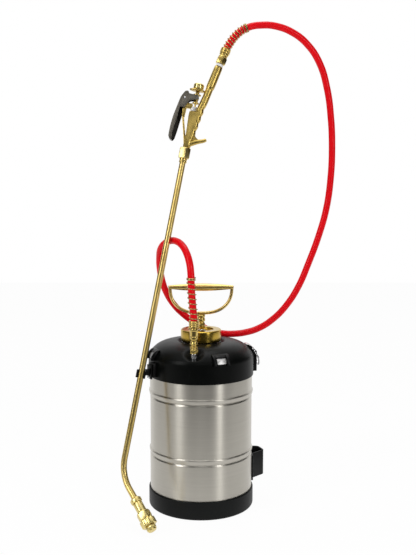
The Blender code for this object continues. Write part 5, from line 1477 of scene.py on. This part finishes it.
# %% Valve stem, knob and packing
STEM = GUN @ stem_shift
stem_profile = [
    (0.0, 0.0340), (0.0014, 0.0340), (0.0014, 0.0375), (0.0031, 0.0375), (0.0031, 0.0400),
    (0.0014, 0.0400), (0.0014, 0.0735), (0.0046, 0.0735), (0.0050, 0.0741), (0.0050, 0.0754),
    (0.0044, 0.0760), (0.0030, 0.0764), (0.0030, 0.0790), (0.0024, 0.0794), (0.0024, 0.0800),
    (0.0030, 0.0804), (0.0030, 0.0868), (0.0060, 0.0868), (0.0065, 0.0873), (0.0065, 0.0880),
    (0.0060, 0.0884), (0.0030, 0.0886), (0.0030, 0.0964), (0.0, 0.0964),
]
stem = lathed("valve_plunger", stem_profile, 0.0002, 2, 40, STEM)
fit(stem, "stem", fitting_brass, "valve_stem", slot="plain_steel")
knob_profile = [
    (0.0, 0.0967), (0.0072, 0.0967), (0.0082, 0.0978), (0.0082, 0.1034), (0.0074, 0.1051), (0.0052, 0.1057),
    (0.0, 0.1058),
]
stem_knob = lathed("valve_knob", knob_profile, 0.0012, 4, 56, STEM)
fit(stem_knob, "stem", tip_brass, "stem_knob", slot="cast_brass")
packing = hex_bar(
    "packing_hex", radius=0.0062, bottom=0.0612, top=0.0680, matrix=STEM, turn=0.3, chamfer=0.0008,
    bore=0.0017,
)
fit(packing, "tank", clip_steel, "packing_nut", slot="cast_brass")
print("stem faces", len(stem.data.polygons))

# %% [markdown]
# ## The trigger
#
# The trigger is pressed from dark steel sheet into a channel: a rounded back with two cheeks that grip
# the pivot and fork round the stem. Its side view is cut from plate, the inside of the channel is taken
# out with the same outline moved inwards, and the edges are broken so that they shine. The near cheek is
# cut back below the pivot, so the hollow shows, and the faces in there get a near-black steel as painted
# shade.

# %% Trigger
LEVER_OUTLINE = (
    (-0.0100, 0.0868), (0.0046, 0.0866), (0.0060, 0.0842), (0.0048, 0.0800), (-0.0080, 0.0770),
    (-0.0118, 0.0690), (-0.0146, 0.0590), (-0.0164, 0.0450), (-0.0180, 0.0290), (-0.0200, 0.0150),
    (-0.0224, 0.0107), (-0.0268, 0.0118), (-0.0298, 0.0160), (-0.0298, 0.0310), (-0.0283, 0.0480),
    (-0.0248, 0.0665), (-0.0222, 0.0800), (-0.0168, 0.0898), (-0.0125, 0.0908),
)
CHEEK_TRIM = (
    (-0.0205, 0.0640), (-0.0222, 0.0463), (-0.0248, 0.0225), (-0.0236, 0.0090), (-0.0080, 0.0090),
    (-0.0080, 0.0640),
)
LEVER_WIDTH = 0.0135
HOLLOW_WIDTH = 0.0107
HOLLOW_SHIFT = (0.0016, -0.0002)
TRIM_WIDTH = 0.0040
TRIM_PLACE = -0.0070
HOLLOW_MARGIN = 0.0003
CHEEK_SKIN = 0.0002
BACK_FACING = 0.2
CHEEK_FACING = 0.7


def in_hollow(face):
    """Whether a face of the channel looks into its hollow, while the lever still lies along the axes."""
    depth = abs(face.center.y) - HOLLOW_WIDTH / 2
    if depth < -HOLLOW_MARGIN:
        return face.normal.x > BACK_FACING
    inwards = face.normal.y * face.center.y < 0
    return depth < CHEEK_SKIN and inwards and abs(face.normal.y) > CHEEK_FACING


lever_shape = rounded_loop(LEVER_OUTLINE, 0.0040, 5)
lever = plate("trigger_channel", lever_shape, LEVER_WIDTH)
hollow_shape = [(b + HOLLOW_SHIFT[0], a + HOLLOW_SHIFT[1]) for b, a in lever_shape]
cut(lever, plate("trigger_hollow", hollow_shape, HOLLOW_WIDTH))
cut(lever, plate("trigger_trim", CHEEK_TRIM, TRIM_WIDTH, Matrix.Translation((0.0, TRIM_PLACE, 0.0))))
broken_edges(lever, 0.0004, 2, 35.0)
hollow_faces = [face.index for face in lever.data.polygons if in_hollow(face)]
settle(lever, GUN)
smooth(lever, 35.0)
fit(lever, "trigger", trigger_steel, "trigger_lever", slot="plain_steel")
# the faces in the hollow get the near-black steel, painted shade for the channel's shadow
lever.data.materials.append(scale_steel)
for index in hollow_faces:
    lever.data.polygons[index].material_index = 1
pin_profile = [
    (0.0, 0.0090), (0.0010, 0.0089), (0.0018, 0.0083), (0.0020, 0.0075), (0.0020, 0.0070), (0.0018, 0.0069),
]
pin_profile += [(r, -z) for r, z in reversed(pin_profile)]
pin = turned("pivot_pin", pin_profile, 32, GUN @ pivot_matrix)
smooth(pin)
fit(pin, "tank", wire_steel, "trigger_pin", slot="plain_steel")
print("trigger faces", len(lever.data.polygons), "of them in the hollow", len(hollow_faces))

# %% [markdown]
# ## The hose coupling
#
# At the top of the barrel white thread tape bulges out of the joint, then comes a long hexagon coupling
# and the upper ferrule.

# %% Hose coupling
tape_profile = [
    (0.0, 0.0003), (0.0050, 0.0003), (0.0057, 0.0009), (0.0059, 0.0022), (0.0056, 0.0036), (0.0050, 0.0043),
    (0.0, 0.0043),
]
tape = lathed("joint_tape", tape_profile, 0.0004, 3, 40, COUPLING)
fit(tape, "tank", white_tape, "seal_tape", slot="white_tape")
coupling_hex = hex_bar(
    "coupling_hex", radius=0.0082, bottom=0.0046, top=0.0150, matrix=None, turn=0.2, chamfer=0.0012
)
neck_profile = [
    (0.0, 0.0140), (0.0066, 0.0140), (0.0070, 0.0160), (0.0062, 0.0172), (0.0062, 0.0186), (0.0072, 0.0194),
    (0.0072, 0.0210), (0.0062, 0.0216), (0.0, 0.0216),
]
coupling_neck = lathed("coupling_neck", neck_profile, 0.0004, 3, 48)
coupling = joined("coupling_body", coupling_hex, coupling_neck)
settle(coupling, COUPLING)
fit(coupling, "tank", fitting_brass, "hose_coupling", slot="cast_brass")
UPPER_FERRULE = 0.0080
upper_ferrule = crimped("hose_ferrule_high_crimp", UPPER_MOUTH - UPPER_FERRULE, UPPER_FERRULE, COUPLING)
fit(upper_ferrule, "tank", fitting_brass, "hose_ferrule_upper", slot="cast_brass")
print("coupling made")

# %% [markdown]
# ## What stays inside
#
# The suction tube, pump cylinder, piston and valves are inside the tank. Their CAD solids have the right
# shape, so they only get a finish.

# %% Inner pieces
INNER = {
    "tank_bottom": tank_steel, "tank_dome": tank_steel, "tank_neck": tank_steel, "dip_tube": suction_tube,
    "dip_strainer": strainer_plastic, "pump_gasket": seal_rubber, "pump_cylinder": nut_brass,
    "check_valve_seat": fitting_brass, "check_valve": seal_rubber, "piston_nut": fitting_brass,
    "piston_cup": cup_leather, "piston_plate": fitting_brass, "stem_spring": wire_steel,
}
for name, finish in INNER.items():
    nodes[name].data.materials.clear()
    nodes[name].data.materials.append(finish)
print("inner pieces finished:", len(INNER))

# %% [markdown]
# ## Studio
#
# The sprayer stands on a white floor in soft light. Shiny metal only shows what is around it, so a dark
# curved wall stands behind the camera and at the sides, and a dark carpet lies in front of the white paper.
# Only reflections see them, and they draw the deep edges on the brass and the grey bands on the tank. A
# lamp in front lights the flats that face the camera. The world and the floor are white to the camera and
# to reflections, and softer for light.

# %% World and floor
WHITE = (1.0, 1.0, 1.0, 1.0)
WORLD_LIGHT = 0.40
FLOOR_SIZE = 6.0
FLOOR_SHADE = 0.93
FLOOR_WHITE = 0.965


def camera_or(tree, *kinds):
    """One for camera rays and for the other kinds of ray named, and nought for the rest."""
    path = tree.nodes.new("ShaderNodeLightPath")
    seen = path.outputs["Is Camera Ray"]
    for kind in kinds:
        either = tree.nodes.new("ShaderNodeMath")
        either.operation = "MAXIMUM"
        tree.links.new(seen, either.inputs[0])
        tree.links.new(path.outputs[f"Is {kind} Ray"], either.inputs[1])
        seen = either.outputs[0]
    return seen


def mixed_out(tree, share, first, second, output):
    """Send a mix of two shaders to a new output node."""
    both = tree.nodes.new("ShaderNodeMixShader")
    tree.links.new(share, both.inputs[0])
    tree.links.new(first.outputs[0], both.inputs[1])
    tree.links.new(second.outputs[0], both.inputs[2])
    tree.links.new(both.outputs[0], tree.nodes.new(output).inputs["Surface"])


def pale_world():
    """White where it is seen, and softer where it gives light."""
    world = bpy.data.worlds.new("pale_studio")
    bpy.context.scene.world = world
    world.use_nodes = True
    tree = world.node_tree
    tree.nodes.clear()
    soft = tree.nodes.new("ShaderNodeBackground")
    soft.inputs["Color"].default_value = WHITE
    soft.inputs["Strength"].default_value = WORLD_LIGHT
    white = tree.nodes.new("ShaderNodeBackground")
    white.inputs["Color"].default_value = WHITE
    white.inputs["Strength"].default_value = 1.0
    mixed_out(tree, camera_or(tree, "Glossy", "Transmission"), soft, white, "ShaderNodeOutputWorld")


def pale_floor():
    """White paper that glows where it is seen, and is plain paper for the light that falls on it."""
    bpy.ops.object.select_all(action="DESELECT")
    bpy.ops.mesh.primitive_plane_add(size=FLOOR_SIZE, location=(0.0, 0.0, 0.0))
    floor = bpy.context.object
    floor.name = "studio_floor"
    material = bpy.data.materials.new("pale_floor")
    material.use_nodes = True
    tree = material.node_tree
    tree.nodes.clear()
    share = tree.nodes.new("ShaderNodeMath")
    share.operation = "MULTIPLY"
    share.inputs[1].default_value = FLOOR_WHITE
    tree.links.new(camera_or(tree, "Glossy"), share.inputs[0])
    paper = tree.nodes.new("ShaderNodeBsdfDiffuse")
    paper.inputs["Color"].default_value = (FLOOR_SHADE, FLOOR_SHADE, FLOOR_SHADE, 1.0)
    glow = tree.nodes.new("ShaderNodeEmission")
    glow.inputs["Color"].default_value = WHITE
    mixed_out(tree, share.outputs[0], paper, glow, "ShaderNodeOutputMaterial")
    floor.data.materials.append(material)


pale_world()
pale_floor()
print("world and floor ready")

# %% Dark room and lamps
ROOM_RADIUS = 2.6
ROOM_HEIGHT = 3.4
ROOM_SIDES = 48
ROOM_SUNK = 0.2
ROOM_REAR = 1.60
ROOM_SHADE = 0.030
ROOM_ROUGH = 0.9
PAPER_REACH = 0.52
CARPET_HEIGHT = 0.002
MIDDLE = (0.0, 0.0, 0.35)
VALVE_AIM = (0.0, 0.0, 0.62)


def lamp(name, place, aim, width, height, power):
    """A rectangular soft lamp that looks at a point."""
    light = bpy.data.lights.new(name, "AREA")
    light.shape = "RECTANGLE"
    light.size = width
    light.size_y = height
    light.energy = power
    stand = bpy.data.objects.new(name, light)
    bpy.context.scene.collection.objects.link(stand)
    stand.location = place
    stand.rotation_euler = (Vector(aim) - Vector(place)).to_track_quat("-Z", "Y").to_euler()


def dark_room():
    """A dark wall behind the camera and at both sides, and a carpet, seen only in reflections."""
    bpy.ops.object.select_all(action="DESELECT")
    bpy.ops.mesh.primitive_cylinder_add(
        vertices=ROOM_SIDES, radius=ROOM_RADIUS, depth=ROOM_HEIGHT, end_fill_type="NOTHING",
        location=(0.0, 0.0, ROOM_HEIGHT / 2 - ROOM_SUNK),
    )
    wall = bpy.context.object
    wall.name = "dark_room"
    bpy.ops.object.transform_apply(location=True, rotation=True, scale=True)
    edit(wall)
    bpy.ops.mesh.bisect(
        plane_co=(0.0, ROOM_REAR, 0.0), plane_no=(0.0, 1.0, 0.0), use_fill=False, clear_outer=True
    )
    leave()
    unseen(wall, ROOM_SHADE)
    bpy.ops.object.select_all(action="DESELECT")
    bpy.ops.mesh.primitive_plane_add(size=1.0)
    carpet = bpy.context.object
    carpet.name = "dark_carpet"
    depth = ROOM_RADIUS - PAPER_REACH
    place = Matrix.Translation((0.0, -PAPER_REACH - depth / 2, CARPET_HEIGHT))
    carpet.data.transform(place @ Matrix.Diagonal((2 * ROOM_RADIUS, depth, 1.0, 1.0)))
    unseen(carpet, ROOM_SHADE)


def unseen(sheet, shade):
    """Paint a sheet plainly and let only reflections see it."""
    material = bpy.data.materials.new(sheet.name)
    material.use_nodes = True
    paper = material.node_tree.nodes["Principled BSDF"]
    paper.inputs["Base Color"].default_value = (shade, shade, shade, 1.0)
    paper.inputs["Roughness"].default_value = ROOM_ROUGH
    sheet.data.materials.append(material)
    sheet.visible_camera = False
    sheet.visible_diffuse = False
    sheet.visible_shadow = False


dark_room()
lamp("key_lamp", (-1.40, -1.20, 1.10), MIDDLE, 0.50, 1.30, 14.0)
lamp("fill_lamp", (1.20, -1.35, 0.80), MIDDLE, 0.26, 1.20, 8.0)
lamp("top_lamp", (0.0, 0.2, 2.1), MIDDLE, 1.0, 1.0, 12.0)
lamp("front_lamp", (0.0, -2.1, 1.35), VALVE_AIM, 0.8, 0.7, 2.5)
bpy.context.scene.view_settings.view_transform = "Standard"
print("dark room and lamps ready")
